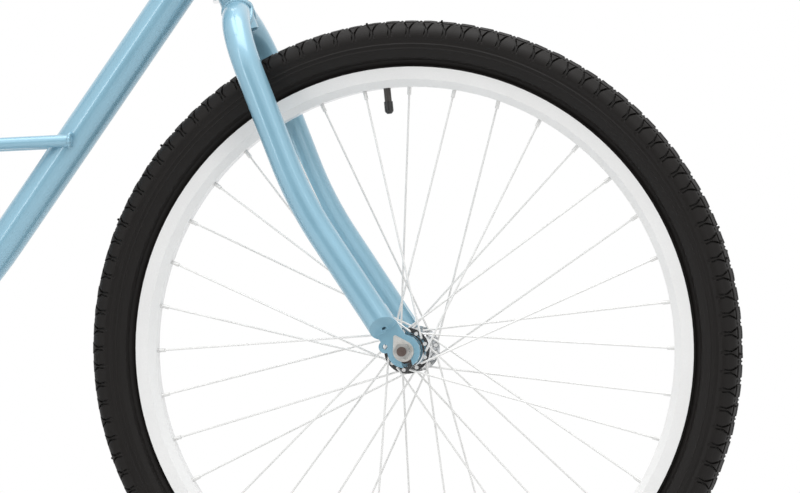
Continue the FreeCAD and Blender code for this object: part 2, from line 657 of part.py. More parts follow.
head_balls = ball_ring("low_ball", "head_ball_radius", "head_ball_circle", 20, steer_place(ball_low))
head_balls += ball_ring("high_ball", "head_ball_radius", "head_ball_circle", 20, steer_place(ball_high))
node("headset_cones", group("headset_cones", [low_cone, high_cone, locknut] + head_balls))

# Fork: unicrown blades welded to the sides of the steerer.
steerer_length = "steerer_high - steerer_low"
steerer_outer = cylinder("steerer_outer", "steerer_radius", steerer_length, steer_place(val("steerer_low")))
steerer_inner = cylinder("steerer_inner", "steerer_bore", steerer_length, steer_place(val("steerer_low")))
node("steerer_tube", cut("steerer_tube", steerer_outer, [steerer_inner]))

sweep_turn = math.radians(val("blade_sweep"))
tip_drop = val("blade_tip_forward") / math.tan(sweep_turn)
knee_up = val("blade_tip_up") + tip_drop
crown_turn = math.radians(74)
crown_reach = val("crown_curve") * math.tan(crown_turn / 2)
crown_up = val("crown_start") + crown_reach
blade_corners = [
    on_steer(val("blade_tip_up"), val("blade_tip_forward"), -val("blade_half")),
    on_steer(knee_up, 0, -val("blade_half")),
    on_steer(crown_up, 0, -val("blade_half")),
    on_steer(crown_up + math.cos(crown_turn) * crown_reach * 1.02, 0,
             -val("blade_half") + math.sin(crown_turn) * crown_reach * 1.02),
]
blade_bends = [val("blade_sweep_curve"), val("crown_curve")]
blade_tip = blade_corners[0]
blade_way = (blade_corners[1] - blade_tip).normalize()
blade_line = path("blade_line", [blade_tip - blade_way * val("blade_radius * 1.2")] + blade_corners[1:],
                  blade_bends)
# The tip is cut on a slant that faces down and outwards, and closed by a plate with a drain hole.
tip_turn = math.radians(val("tip_slant"))
tip_face = blade_way * -math.cos(tip_turn) + Vector(0, -math.sin(tip_turn), 0)
tip_aim = Rotation(Vector(0, 0, 1), tip_face)
tip_waste = cylinder("tip_waste", "blade_radius * 2", "blade_radius * 3", Placement(blade_tip, tip_aim))
hollow_waste = cylinder("hollow_waste", "blade_radius * 2", "blade_radius * 3 + blade_wall",
                        Placement(blade_tip - tip_face * val("blade_wall"), tip_aim))
drain = cylinder("drain", "drain_radius", "blade_wall * 4",
                 Placement(blade_tip - tip_face * val("blade_wall * 2"), tip_aim))

# Front dropout: a round end, a web that runs into the blade, an eyelet behind, and a slot for the axle below.
front_drop_y = val("-front_drop_half - front_drop_thick")
front_drop = at(front_hub.x, front_drop_y, front_hub.z, ALONG_Y)
web_turn = Rotation(Vector(0, 1, 0), math.degrees(math.atan2(blade_way.x, blade_way.z)))
web = box("front_web", "front_drop_radius * 1.5", "front_drop_thick", "50",
          Placement(Vector(front_hub.x, front_drop_y, front_hub.z), web_turn).multiply(
              at(val("-front_drop_radius * 0.86"), 0, 0)))
eyelet_at = Vector(front_hub.x - val("eyelet_back"), front_drop_y, front_hub.z + val("eyelet_up"))
drop_round = cylinder("front_drop_round", "front_drop_radius", "front_drop_thick", front_drop)
drop_ear = cylinder("front_drop_ear", "eyelet_rim", "front_drop_thick", Placement(eyelet_at, ALONG_Y))
ear_hole = cylinder("front_ear_hole", "eyelet_radius", "front_drop_thick", Placement(eyelet_at, ALONG_Y))
axle_hole = cylinder("front_axle_hole", "front_axle_radius + 0.15", "front_drop_thick", front_drop)
axle_slot = box("front_axle_slot", "(front_axle_radius + 0.15) * 2", "front_drop_thick", "30",
                Placement(Vector(front_hub.x, front_drop_y, front_hub.z),
                          Rotation(Vector(0, 1, 0), -val("slot_lean"))).multiply(
                    at(val("-front_axle_radius - 0.15"), 0, -30)))
right_front_drop = cut("right_front_dropout", fuse("front_drop_blank", [drop_round, web, drop_ear]),
                       [ear_hole, axle_hole, axle_slot])
node("front_dropouts", pair("front_dropouts", right_front_drop))
blade_outer = rod("blade_outer", blade_line, "blade_radius")
blade_bore = rod("blade_bore", blade_line, "blade_radius - blade_wall")
blade_hollow = cut("blade_hollow", blade_bore, [hollow_waste])
right_blade = cut("right_fork_blade", blade_outer, [blade_hollow, steerer_outer, right_front_drop,
                                                    tip_waste, drain])
node("right_fork_blade", right_blade)
node("left_fork_blade", mirror("left_fork_blade", right_blade))

# Front axle with its cones and balls, tab washers and nuts.
front_middle = Placement(front_hub, X_TO_Y)
half_axle = [
    ("-front_axle_half", "0"), ("-front_axle_half", "front_axle_radius"), ("-front_drop_half",
            "front_axle_radius"),
    ("-front_drop_half", "front_cone_radius + 1"), ("-front_boss_half - 1", "front_cone_radius + 1"),
    ("-front_boss_half - 1", "front_race_radius - free_gap"), ("-front_boss_half + 0.5",
                                                               "front_race_radius - free_gap"),
    ("-front_boss_half + 0.5", "front_cone_radius"), ("-front_boss_half + front_race_depth - 1",
                                                      "front_cone_radius"),
    ("-front_boss_half + front_race_depth - 1", "front_axle_radius"),
]
front_axle = turned("front_axle_bar", front_middle, mirrored_loop(half_axle))
front_balls = []
for side in (-1, 1):
    ball_y = side * val("front_boss_half - front_race_depth + 1 + front_ball_radius")
    front_balls += ball_ring("front_ball", "front_ball_radius",
                             "front_cone_radius + front_ball_radius + running_gap", 10,
                             at(front_hub.x, ball_y, front_hub.z, ALONG_Y))
node("front_axle", group("front_axle", [front_axle] + front_balls))
washer_place = Placement(Vector(front_hub.x, front_drop_y - val("washer_thick") / 2, front_hub.z),
                         Rotation(Vector(1, 0, 0), 90))
tab_angle = math.radians(val("tab_turn"))
tab_middle = Vector(math.cos(tab_angle), math.sin(tab_angle), 0) * val("tab_reach")
tab_spread = math.acos(val("(washer_radius - tab_tip) / tab_reach"))


def tangent_point(middle, radius, turn):
    """Sketch corner on a circle, at an angle."""
    return f"{middle.x + radius * math.cos(turn):.4f}", f"{middle.y + radius * math.sin(turn):.4f}"


washer = plate("right_tab_washer", washer_place, "washer_thick", [
    tangent_point(Vector(), val("washer_radius"), tab_angle - tab_spread),
    (*tangent_point(tab_middle, val("tab_tip"), tab_angle - tab_spread), "tab_tip", "left"),
    tangent_point(tab_middle, val("tab_tip"), tab_angle + tab_spread),
    (*tangent_point(Vector(), val("washer_radius"), tab_angle + tab_spread), "washer_radius", "left"),
    ("0", "-washer_radius", "washer_radius", "left"), ("washer_radius", "0", "washer_radius", "left"),
], [("0", "0", "front_axle_radius + 0.1")])
node("front_tab_washers", pair("front_tab_washers", washer))
nut_y = front_drop_y - val("washer_thick")
nut_place = at(front_hub.x, nut_y - val("nut_height"), front_hub.z, ALONG_Y)
nut = cut("right_front_nut", hexagon("front_nut_hexagon", "nut_flats", "nut_height", nut_place),
          [cylinder("front_nut_bore", "front_axle_radius", "nut_height", nut_place)])
node("front_axle_nuts", pair("front_axle_nuts", nut))


def wheel(name, hub, hub_section, flange_half, hole_circle):
    """Hub shell, laced spokes, rim, tyre, inner tube with valve, and valve cap."""
    middle = Placement(hub, X_TO_Y)
    count = round(val("spoke_count"))
    step = 360 / count
    phase = val("spoke_phase")
    floor = val("rim_radius - rim_depth")

    def spun(degrees):
        """Local X points from the hub at this angle, seen from the right; local Y points to the left."""
        return Placement(hub, Rotation(Vector(0, 1, 0), -degrees))

    def between(first, last, radius):
        return Part.makeCylinder(radius, (last - first).Length, first, last - first)

    # One spoke of each of the four kinds, then turned copies of it.
    spokes = []
    hub_holes = []
    rim_holes = []
    wire = val("spoke_radius")
    flat_elbow = val("flange_thick") / 2 + wire
    for side in (-1, 1):
        for kind, (lead, face) in enumerate(((1, 1), (-1, -1))):
            hole_angle = phase + (step if side == 1 else 0) + kind * 2 * step
            nipple_angle = hole_angle + lead * val("spoke_cross")
            flange_y = side * val(flange_half)
            # A spoke on the flange's outer face leans in over the flange's edge, so it starts further out.
            elbow = flat_elbow + (val("flange_lean") if face == 1 else 0)
            bend_at = spun(hole_angle).multVec(Vector(val(hole_circle), flange_y + side * face * elbow, 0))
            head_at = spun(hole_angle).multVec(Vector(val(hole_circle),
                                                      flange_y - side * face * (flat_elbow - wire + 0.4), 0))
            out = Vector(0, side * face, 0)
            rim_at = spun(nipple_angle).multVec(Vector(floor, 0, 0))
            way = (rim_at - bend_at).normalize()
            shaft_end = rim_at + way * 3
            nipple_start = rim_at - way * val("nipple_length")
            parts = [
                between(bend_at, shaft_end, wire),
                between(head_at, bend_at, wire),
                between(head_at - out * 0.8, head_at, wire * 1.9),
                between(nipple_start, rim_at + way * 2, val("nipple_radius")),
                between(rim_at + way * val("rim_wall + 0.4"), rim_at + way * val("rim_wall + 2.4"),
                        val("nipple_radius") * 1.5),
            ]
            spoke = Part.makeSphere(wire, bend_at).multiFuse(parts).removeSplitter()
            for i in range(count // 4):
                turn = Placement(hub, Rotation(Vector(0, 1, 0), -i * 4 * step)).multiply(Placement(-hub,
                        Rotation()))
                copy = spoke.copy()
                copy.Placement = turn.multiply(copy.Placement)
                spokes.append(copy)
                spot = spun(hole_angle + i * 4 * step)
                hub_holes.append(Part.makeCylinder(
                    wire + 0.3, val("flange_thick") * 2, spot.multVec(Vector(val(hole_circle),
                            flange_y - val("flange_thick"), 0)),
                    Vector(0, 1, 0)))
                spot = spun(nipple_angle + i * 4 * step)
                rim_holes.append(Part.makeCylinder(
                    val("nipple_radius + nipple_gap"), 12, spot.multVec(Vector(floor - 6, 0, 0)),
                    spot.Rotation.multVec(Vector(1, 0, 0))))
    spoke_set = doc.addObject("Part::Feature", name + "_spoke_set")
    spoke_set.Shape = Part.makeCompound(spokes)
    node(name + "_spokes", spoke_set)

    hub_drill = doc.addObject("Part::Feature", name + "_hub_drill")
    hub_drill.Shape = Part.makeCompound(hub_holes)
    node(name + "_hub_shell", cut(name + "_hub_shell", turned(name + "_hub_blank", middle, hub_section),
                                  [hub_drill]))

    valve_spin = spun(phase + 9.5 * step)
    outward = valve_spin.multiply(at(0, 0, 0, Rotation(Vector(0, 1, 0), 90)))
    rim_drill = doc.addObject("Part::Feature", name + "_rim_drill")
    rim_drill.Shape = Part.makeCompound(rim_holes)
    valve_hole = cylinder(name + "_valve_hole", "valve_radius + 0.5", "rim_depth", outward.multiply(at(0, 0,
            floor - 4)))
    rim_half = [
        ("-rim_width / 2", "rim_radius"), ("-rim_width / 2 + rim_draft", "rim_radius - rim_side"),
        ("-rim_floor / 2", "rim_radius - rim_depth"),
    ]
    rim_inside = [
        ("rim_width / 2 - rim_wall", "rim_radius"),
        ("rim_width / 2 - rim_draft - rim_wall", "rim_radius - rim_side + rim_wall * 0.4"),
        ("rim_floor / 2 - rim_wall * 0.4", "rim_radius - rim_depth + rim_wall"),
    ]
    rim_blank = turned(name + "_rim_blank", middle, mirrored_loop(rim_half) + mirrored_loop(rim_inside))
    node(name + "_rim", cut(name + "_rim", rim_blank, [rim_drill, valve_hole]))

    # The tyre section runs from one bead over the crown to the other, outside then back inside.
    bead_outer = "rim_width / 2 - rim_draft - rim_wall - bead_gap"
    bead_low = "rim_radius - rim_side + 4"
    lip = "rim_radius + 1.6"
    bulge = "tyre_radius - 22"
    section = [
        (bead_outer, bead_low), (bead_outer, lip, "side_curve", "left"), ("tyre_width / 2", bulge,
                "shoulder_curve", "left"),
        ("tread_half", "tyre_radius - tread_drop", "tread_curve", "left"),
        ("-tread_half", "tyre_radius - tread_drop", "shoulder_curve", "left"),
        ("-tyre_width / 2", bulge, "side_curve", "left"), (f"-({bead_outer})", lip), (f"-({bead_outer})",
                bead_low),
        (f"-({bead_outer}) + bead_thick", bead_low),
        (f"-({bead_outer}) + bead_thick", f"{lip} + 1", "side_curve - tyre_wall", "right"),
        ("-tyre_width / 2 + tyre_wall", bulge, "shoulder_curve - tyre_wall", "right"),
        ("-tread_half + 1", "tyre_radius - tread_drop - tyre_wall", "tread_curve - tyre_wall", "right"),
        ("tread_half - 1", "tyre_radius - tread_drop - tyre_wall", "shoulder_curve - tyre_wall", "right"),
        ("tyre_width / 2 - tyre_wall", bulge, "side_curve - tyre_wall", "right"),
        (f"{bead_outer} - bead_thick", f"{lip} + 1"), (f"{bead_outer} - bead_thick", bead_low),
    ]
    node(name + "_tyre", turned(name + "_tyre", middle, section))

    # The inner tube lies against the casing, and its valve stem passes through the rim.
    def tube_loop(inset):
        return [
            (f"-({bead_outer}) + bead_thick + {inset}", f"{lip} + 2 + {inset}"),
            (f"{bead_outer} - bead_thick - {inset}", f"{lip} + 2 + {inset}", "side_curve - tyre_wall",
             "left"),
            (f"tyre_width / 2 - tyre_wall - {inset}", bulge, "shoulder_curve - tyre_wall", "left"),
            (f"tread_half - 1 - {inset}", f"tyre_radius - tread_drop - tyre_wall - {inset}",
             "tread_curve - tyre_wall", "left"),
            (f"-tread_half + 1 + {inset}", f"tyre_radius - tread_drop - tyre_wall - {inset}",
             "shoulder_curve - tyre_wall",
             "left"),
            (f"-tyre_width / 2 + tyre_wall + {inset}", bulge, "side_curve - tyre_wall", "left"),
        ]

    tube_outer = turned(name + "_tube_outer", middle, tube_loop("0.4"))
    tube_inner = turned(name + "_tube_inner", middle, tube_loop("(0.4 + tube_wall)"))
    stem_length = "valve_show + valve_cap_length - 2 + rim_depth"
    stem_low = floor - val("valve_show + valve_cap_length - 2")
    stem = cylinder(name + "_valve_stem", "valve_radius", stem_length, outward.multiply(at(0, 0, stem_low)))
    stem_reach = cylinder(name + "_valve_root", "valve_radius", "valve_radius * 1.7",
                          outward.multiply(at(0, 0, val("rim_radius"))))
    tube_shell = cut(name + "_tube_shell", fuse(name + "_tube_blank", [tube_outer, stem, stem_reach]),
                     [tube_inner])
    node(name + "_inner_tube", tube_shell)
    cap_blank = turned(name + "_cap_blank", outward.multiply(at(0, 0,
                                                                floor - val("valve_show + valve_cap_length"),
                                                              Rotation(Vector(0, 1, 0), -90))), [
        ("0", "0"), ("0", "valve_cap_radius * 0.5"), ("valve_cap_radius * 0.4", "valve_cap_radius * 0.9"),
        ("valve_cap_radius * 0.7", "valve_cap_radius"), ("valve_cap_length", "valve_cap_radius"),
        ("valve_cap_length", "valve_radius + running_gap"), ("1.9", "valve_radius + running_gap"), ("1.9",
                "0"),
    ])
    node(name + "_valve_cap", cap_blank)


front_outside = mirrored_loop([
    ("-front_boss_half", "front_race_radius"), ("-front_boss_half", "front_boss_radius"),
    ("-front_flange_half - flange_thick / 2", "front_boss_radius"),
    ("-front_flange_half - flange_thick / 2", "front_flange_radius"),
    ("-front_flange_half + flange_thick / 2", "front_flange_radius"),
    ("-front_flange_half + flange_thick / 2", "front_boss_radius"),
    ("-front_flange_half + flange_thick / 2 + 6", "front_barrel_radius"),
])
front_inside = mirrored_loop([
    ("front_boss_half - front_race_depth", "front_race_radius"),
    ("front_boss_half - front_race_depth", "front_race_radius - 3.4"),
])
wheel("front", front_hub, front_outside + front_inside, "front_flange_half", "front_hole_circle")
rear_section = mirrored_loop([
    ("-rear_flange_half - flange_thick / 2", "rear_bore_radius"),
    ("-rear_flange_half - flange_thick / 2", "rear_flange_radius"),
    ("-rear_flange_half + flange_thick / 2", "rear_flange_radius"),
    ("-rear_flange_half + flange_thick / 2", "rear_barrel_radius + 3"),
    ("-rear_flange_half + flange_thick / 2 + 8", "rear_barrel_radius"),
])
wheel("rear", rear_hub, rear_section, "rear_flange_half", "rear_hole_circle")

# Rear axle: bearing sleeve inside the hub, cone under the driver and spacers.
# The coaster brake's cone is on the left.
rear_middle = Placement(rear_hub, X_TO_Y)
sleeve = "rear_flange_half + flange_thick / 2"
rear_axle = turned("rear_axle_bar", rear_middle, [
    ("-rear_axle_half", "0"), ("-rear_axle_half", "rear_axle_radius"), ("-rear_drop_half",
            "rear_axle_radius"),
    ("-rear_drop_half", "driver_bore + 1.5"), ("-chain_line - 3", "driver_bore + 1.5"),
    ("-chain_line - 3", "driver_bore - running_gap"), (f"-({sleeve})", "driver_bore - running_gap"),
    (f"-({sleeve})", "rear_bore_radius - free_gap"), (f"{sleeve} + free_gap", "rear_bore_radius - free_gap"),
    (f"{sleeve} + free_gap", "driver_radius"), (f"{sleeve} + 12", "driver_radius"), (f"{sleeve} + 12",
            "driver_bore + 1"),
    ("rear_drop_half - 5.5", "driver_bore + 1"), ("rear_drop_half - 5.5", "driver_bore + 3"),
    ("rear_drop_half", "driver_bore + 3"), ("rear_drop_half", "rear_axle_radius"),
    ("rear_axle_half", "rear_axle_radius"), ("rear_axle_half", "0"),
])
node("rear_axle", rear_axle)
rear_nut_place = at(rear_hub.x, val("-rear_drop_half - rear_drop_thick - nut_height - 1.5"), rear_hub.z,
                    ALONG_Y)
rear_nut_blank = fuse("rear_nut_blank", [
    hexagon("rear_nut_hexagon", "nut_flats + 1", "nut_height + 1", rear_nut_place),
    cylinder("rear_nut_flange", "nut_flats * 0.7", "2", rear_nut_place.multiply(at(0, 0,
            val("nut_height - 0.5")))),
])
rear_nut = cut("right_rear_nut", rear_nut_blank, [cylinder("rear_nut_bore", "rear_axle_radius",
                                                           "nut_height + 4", rear_nut_place)])
node("rear_axle_nuts", pair("rear_axle_nuts", rear_nut))

# Brake arm on the left, held to the chainstay by a strap.
arm_y = val("rear_drop_half - 7")
arm_place = Placement(Vector(rear_hub.x, arm_y, rear_hub.z), Rotation(Vector(1, 0, 0), 90))
arm = plate("brake_lever", arm_place, "3", [
    ("3", "15"), ("-10", "12"), ("-15", "0"), ("-10", "-12"), ("3", "-16"), ("155", "-51"), ("166", "-49"),
    ("168", "-40"), ("160", "-36"), ("70", "-17"),
], [("0", "0", "driver_bore + 1"), ("160", "-43.5", "2.6")])
strap_spot = Vector(rear_hub.x + 160, 0, 0)
stay_from, stay_to = chainstay_corners[2], chainstay_corners[3]
share = (strap_spot.x - stay_from.x) / (stay_to.x - stay_from.x)
strap_at = stay_from + (stay_to - stay_from) * share
strap_at.y = -strap_at.y
stay_way = Vector(stay_to.x - stay_from.x, stay_from.y - stay_to.y, stay_to.z - stay_from.z).normalize()
strap_place = Placement(strap_at - stay_way * 6, Rotation(Vector(0, 0, 1), stay_way))
strap_ring = cylinder("strap_ring", "chainstay_radius + 1.2", "12", strap_place)
strap_tab = box("strap_tab", "12", "2", f"{strap_at.z - rear_hub.z + 51:.3f}",
                at(strap_spot.x - 6, arm_y + 1.55, rear_hub.z - 51))
strap_blank = fuse("strap_blank", [strap_ring, strap_tab])
strap_core = cylinder("strap_core", "chainstay_radius", "40", strap_place.multiply(at(0, 0, -14)))
strap = cut("brake_strap", strap_blank, [strap_core])
strap_bolt = cylinder("strap_bolt", "2.5", "12", at(rear_hub.x + 160, arm_y - 5, rear_hub.z - 43.5, ALONG_Y))
strap_holed = cut("brake_strap_holed", strap, [strap_bolt])
node("brake_arm", group("brake_arm", [arm, strap_holed, strap_bolt]))


def sprocket(name, teeth, place, bore, windows):
    """A toothed disc: one roller seat is cut and patterned round the rim."""
    pitch = f"(chain_pitch / 2 / sin(180 / {teeth}))"
    seat_radius = "(roller_radius + roller_gap)"
    body = doc.addObject("PartDesign::Body", name)
    disc = attached_sketch(body, name + "_disc")
    draw_circle(disc, "0", "0", f"{pitch} + tooth_height")
    draw_circle(disc, "0", "0", bore)
    pad = body.newObject("PartDesign::Pad", name + "_pad")
    pad.Profile = disc
    pad.SideType = "Symmetric"
    bind(pad, Length="tooth_width")
    doc.recompute()

    def pattern(label, loop, count):
        sketch = attached_sketch(body, label)
        draw_loop(sketch, loop)
        pocket = body.newObject("PartDesign::Pocket", label + "_pocket")
        pocket.Profile = sketch
        pocket.SideType = "Symmetric"
        bind(pocket, Length="tooth_width * 3")
        doc.recompute()
        polar = body.newObject("PartDesign::PolarPattern", label + "_pattern")
        polar.Originals = [pocket]
        polar.Axis = (sketch, ["N_Axis"])
        polar.Angle = 360
        bind(polar, Occurrences=count)
        body.Tip = polar
        doc.recompute()

    pattern(name + "_seat", [
        (pitch, seat_radius, seat_radius, "left"), (f"{pitch} - {seat_radius}", "0", seat_radius, "left"),
        (pitch, f"-{seat_radius}"), (f"{pitch} + tooth_height * 2", f"-{seat_radius} - tooth_flare"),
        (f"{pitch} + tooth_height * 2", f"{seat_radius} + tooth_flare"),
    ], teeth)
    if windows:
        half = "(180 / ring_windows)"
        corner = []
        for radius, sign in (("window_inner", -1), ("window_outer", -1), ("window_outer", 1),
                             ("window_inner", 1)):
            x = f"sqrt({radius} ^ 2 - (({radius}) * sin{half} - window_arm) ^ 2)"
            corner.append((x, f"{sign} * (({radius}) * sin{half} - window_arm)"))
        pattern(name + "_window", [corner[0], corner[1] + ("window_outer", "left"), corner[2],
                                   corner[3] + ("window_inner", "right")], windows)
    body.Placement = place
    return body


# Chain: rollers are stepped round the loop, one pitch apart, from the top of the chainring.
along = (bracket - rear_hub).normalize()
above = Vector(-along.z, 0, along.x)
top_normal = along * -math.sin(slant) + above * math.cos(slant)
low_normal = along * -math.sin(slant) - above * math.cos(slant)
chain_y = -val("chain_line")


def turned_from(direction, angle):
    """Turns a direction forward and down, as the chain runs over the chainring."""
    return Rotation(Vector(0, 1, 0), math.degrees(angle)).multVec(direction)


def roller(step):
    """Centre of the roller that lies this many pitches along the loop."""
    if step <= on_ring:
        point = bracket + turned_from(top_normal, step * 2 * math.pi / ring_teeth) * ring_pitch
    elif step <= on_ring + run:
        first, last = bracket + low_normal * ring_pitch, rear_hub + low_normal * cog_pitch
        point = first + (last - first) * ((step - on_ring) / run)
    elif step <= on_ring + run + on_cog:
        point = rear_hub + turned_from(low_normal,
                                       (step - on_ring - run) * 2 * math.pi / cog_teeth) * cog_pitch
    else:
        first, last = rear_hub + top_normal * cog_pitch, bracket + top_normal * ring_pitch
        point = first + (last - first) * ((step - on_ring - run - on_cog) / run)
    return Vector(point.x, chain_y, point.z)


def link_shape(inner):
    """One chain link along local X, with its rollers or its pins."""
    pitch, end, waist = val("chain_pitch"), val("link_radius"), val("link_waist")
    thick = val("link_plate")
    near = val("link_width / 2") if inner else val("link_width / 2 + link_plate + 0.1")
    tilt = math.radians(62)
    corner = Vector(end * math.cos(tilt), end * math.sin(tilt), 0)
    left, right = Vector(0, 0, 0), Vector(pitch, 0, 0)
    upper_left, upper_right = left + corner, right + Vector(-corner.x, corner.y, 0)
    lower_left, lower_right = left + Vector(corner.x, -corner.y, 0), right - corner
    edges = [
        Part.Arc(upper_left, left - Vector(end, 0, 0), lower_left).toShape(),
        Part.Arc(lower_left, Vector(pitch / 2, -waist, 0), lower_right).toShape(),
        Part.Arc(lower_right, right + Vector(end, 0, 0), upper_right).toShape(),
        Part.Arc(upper_right, Vector(pitch / 2, waist, 0), upper_left).toShape(),
    ]
    face = Part.Face(Part.Wire(edges))
    plates = []
    for low in (near, -near - thick):
        piece = face.extrude(Vector(0, 0, thick))
        piece.translate(Vector(0, 0, low))
        plates.append(piece)
    rounds = []
    for spot in (left, right):
        radius = val("roller_radius") if inner else val("pin_radius")
        reach = near if inner else near + thick + 0.5
        rounds.append(Part.makeCylinder(radius, 2 * reach, spot - Vector(0, 0, reach)))
    shape = plates[0].multiFuse(plates[1:] + rounds)
    if inner:
        holes = [Part.makeCylinder(val("pin_radius + running_gap"), 20, spot - Vector(0, 0,
                10)) for spot in (left, right)]
        shape = shape.cut(Part.makeCompound(holes))
    return shape


links = []
link_kinds = [link_shape(True), link_shape(False)]
for step in range(chain_links):
    start, end = roller(step), roller(step + 1)
    heading = math.degrees(math.atan2(end.z - start.z, end.x - start.x))
    link = link_kinds[step % 2].copy()
    link.Placement = Placement(start, Rotation(Vector(0, 1, 0), -heading).multiply(Rotation(Vector(1, 0, 0),
            90)))
    links.append(link)
chain = doc.addObject("Part::Feature", "chain")
chain.Shape = Part.makeCompound(links)
node("chain", chain)

# Chainring and cog, turned so that a tooth gap lies under the rollers.
facing = Rotation(Vector(1, 0, 0), 90)
ring_turn = math.degrees(math.atan2(top_normal.z, top_normal.x))
ring_place = at(bracket.x, chain_y, bracket.z, Rotation(Vector(0, 1, 0), -ring_turn).multiply(facing))
node("chainring", sprocket("chainring", "ring_teeth", ring_place, "spindle_radius + running_gap",
                           "ring_windows"))
first_on_cog = math.ceil(on_ring + run)
cog_spot = roller(first_on_cog) - Vector(rear_hub.x, chain_y, rear_hub.z)
cog_turn = math.degrees(math.atan2(cog_spot.z, cog_spot.x))
cog_place = at(rear_hub.x, chain_y, rear_hub.z, Rotation(Vector(0, 1, 0), -cog_turn).multiply(facing))
cog_disc = sprocket("cog_disc", "cog_teeth", cog_place, "driver_radius", "")
driver = turned("driver", rear_middle, [
    ("-chain_line - 2.6", "driver_bore"), ("-chain_line - 2.6", "driver_radius"), ("-chain_line + 3",
            "driver_radius"),
    ("-chain_line + 3", "driver_radius + 2"), (f"-({sleeve}) - free_gap", "driver_radius + 2"),
    (f"-({sleeve}) - free_gap", "driver_bore"),
])
node("rear_cog", group("rear_cog", [cog_disc, driver]))

# One-piece crank with its cones, balls and locknut, and the cups that carry it.
arm_turn = Rotation(Vector(0, 1, 0), -val("crank_angle"))


def on_crank(reach, across):
    return bracket + arm_turn.multVec(Vector(reach, 0, 0)) + Vector(0, across, 0)


crank_parts = [cylinder("crank_spindle", "spindle_radius", "crank_root * 2 - 26",
                        at(bracket.x, val("-crank_root + 13"), bracket.z, ALONG_Y))]
crank_bores = []
for side, word in ((-1, "right"), (1, "left")):
    root, tip = side * val("crank_root"), side * val("crank_tip")
    reach = val("crank_length") * -side
    arm_way = (on_crank(reach, tip) - on_crank(0, root)).normalize()
    arm_end = on_crank(reach, tip) - arm_way * val("pedal_pin + 4.2")
    arm_line = path(f"{word}_arm_line", [on_crank(0, side * 30), on_crank(0, root), arm_end],
                    [val("crank_bend")])
    crank_parts.append(rod(f"{word}_crank_arm", arm_line, "crank_radius"))
    eye_place = Placement(on_crank(reach, tip - val("eye_thick / 2")), ALONG_Y)
    crank_parts.append(cylinder(f"{word}_eye", "eye_radius", "eye_thick", eye_place))
    crank_bores.append(cylinder(f"{word}_eye_bore", "pedal_pin + 1.5", "eye_thick", eye_place))
node("crank", cut("crank", fuse("crank_blank", crank_parts), crank_bores))

cup_section = [
    ("bracket_width / 2 - 8", "bracket_bore - 2"), ("bracket_width / 2 - 8",
                                                    "bracket_bore"), ("bracket_width / 2", "bracket_bore"),
    ("bracket_width / 2", "bracket_radius"), ("bracket_width / 2 + 3", "bracket_radius - 1"),
    ("bracket_width / 2 + 3", "spindle_radius + 6"), ("bracket_width / 2 + 1.5", "spindle_radius + 6"),
    ("bracket_width / 2 + 1.5", "bracket_bore - 2"),
]
bracket_middle = Placement(bracket, X_TO_Y)
left_cup = turned("left_cup", bracket_middle, cup_section)
node("bottom_bracket_cups", pair("bottom_bracket_cups", left_cup))
left_cone = turned("left_cone", bracket_middle, [
    ("bracket_width / 2 - 8", "spindle_radius"), ("bracket_width / 2 - 8", "spindle_radius + 5.6"),
    ("bracket_width / 2 + 4.4", "spindle_radius + 5.6"), ("bracket_width / 2 + 5", "spindle_radius + 4"),
    ("bracket_width / 2 + 5", "spindle_radius"),
])
bracket_ball = "(bracket_bore - 2 - spindle_radius - 5.6 - 2 * running_gap) / 2"
bracket_balls = ball_ring("left_bracket_ball", bracket_ball,
                          f"spindle_radius + 5.6 + running_gap + {bracket_ball}", 11,
                          at(bracket.x, val("bracket_width / 2 - 4"), bracket.z, ALONG_Y))
node("crank_cones", pair("crank_cones", group("left_bearing", [left_cone] + bracket_balls)))

# Pedals turn on spindles that are screwed into the crank's eyes.
spindles = []
for side, word in ((-1, "right"), (1, "left")):
    spot = on_crank(val("crank_length") * -side, 0)
    eye_out = val("crank_tip + eye_thick / 2")
    spindle_place = Placement(spot, X_TO_Y if side == 1 else Rotation(Vector(0, 0, 1), -90))
    spindles.append(turned(f"{word}_pedal_spindle", spindle_place, [
        ("crank_tip - eye_thick / 2", "0"), ("crank_tip - eye_thick / 2", "pedal_pin + 1.5"),
        ("crank_tip + eye_thick / 2", "pedal_pin + 1.5"), ("crank_tip + eye_thick / 2", "pedal_pin + 3"),
        ("crank_tip + eye_thick / 2 + pedal_gap - free_gap", "pedal_pin + 3"),
        ("crank_tip + eye_thick / 2 + pedal_gap - free_gap", "pedal_pin"),
        ("crank_tip + eye_thick / 2 + pedal_gap + pedal_width - 4", "pedal_pin"),
        ("crank_tip + eye_thick / 2 + pedal_gap + pedal_width - 4", "0"),
    ]))
    inner = eye_out + val("pedal_gap")
    low = inner if side == 1 else -inner - val("pedal_width")
    corner = Vector(spot.x - val("pedal_length / 2"), low, spot.z - val("pedal_height / 2"))
    barrel = cylinder(f"{word}_pedal_barrel", "pedal_height / 2 - 1", "pedal_width", at(spot.x, low, spot.z,
            ALONG_Y))
    blocks = [barrel]
    for near in (0, val("pedal_length * 0.73")):
        blocks.append(box(f"{word}_pedal_block", "pedal_length * 0.27", "pedal_width", "pedal_height",
                          Placement(corner + Vector(near, 0, 0), Rotation())))
    for across in (3, val("pedal_width - 8")):
        blocks.append(box(f"{word}_pedal_plate", "pedal_length - 4", "5", "pedal_height - 6",
                          Placement(corner + Vector(2, across, 3), Rotation())))
    bore_low = low if side == 1 else low + 3
    bore = cylinder(f"{word}_pedal_bore", "pedal_pin + running_gap", "pedal_width - 3", at(spot.x, bore_low,
            spot.z, ALONG_Y))
    node(f"{word}_pedal", cut(f"{word}_pedal", fuse(f"{word}_pedal_blank", blocks), [bore]))
node("pedal_spindles", group("pedal_spindles", spindles))

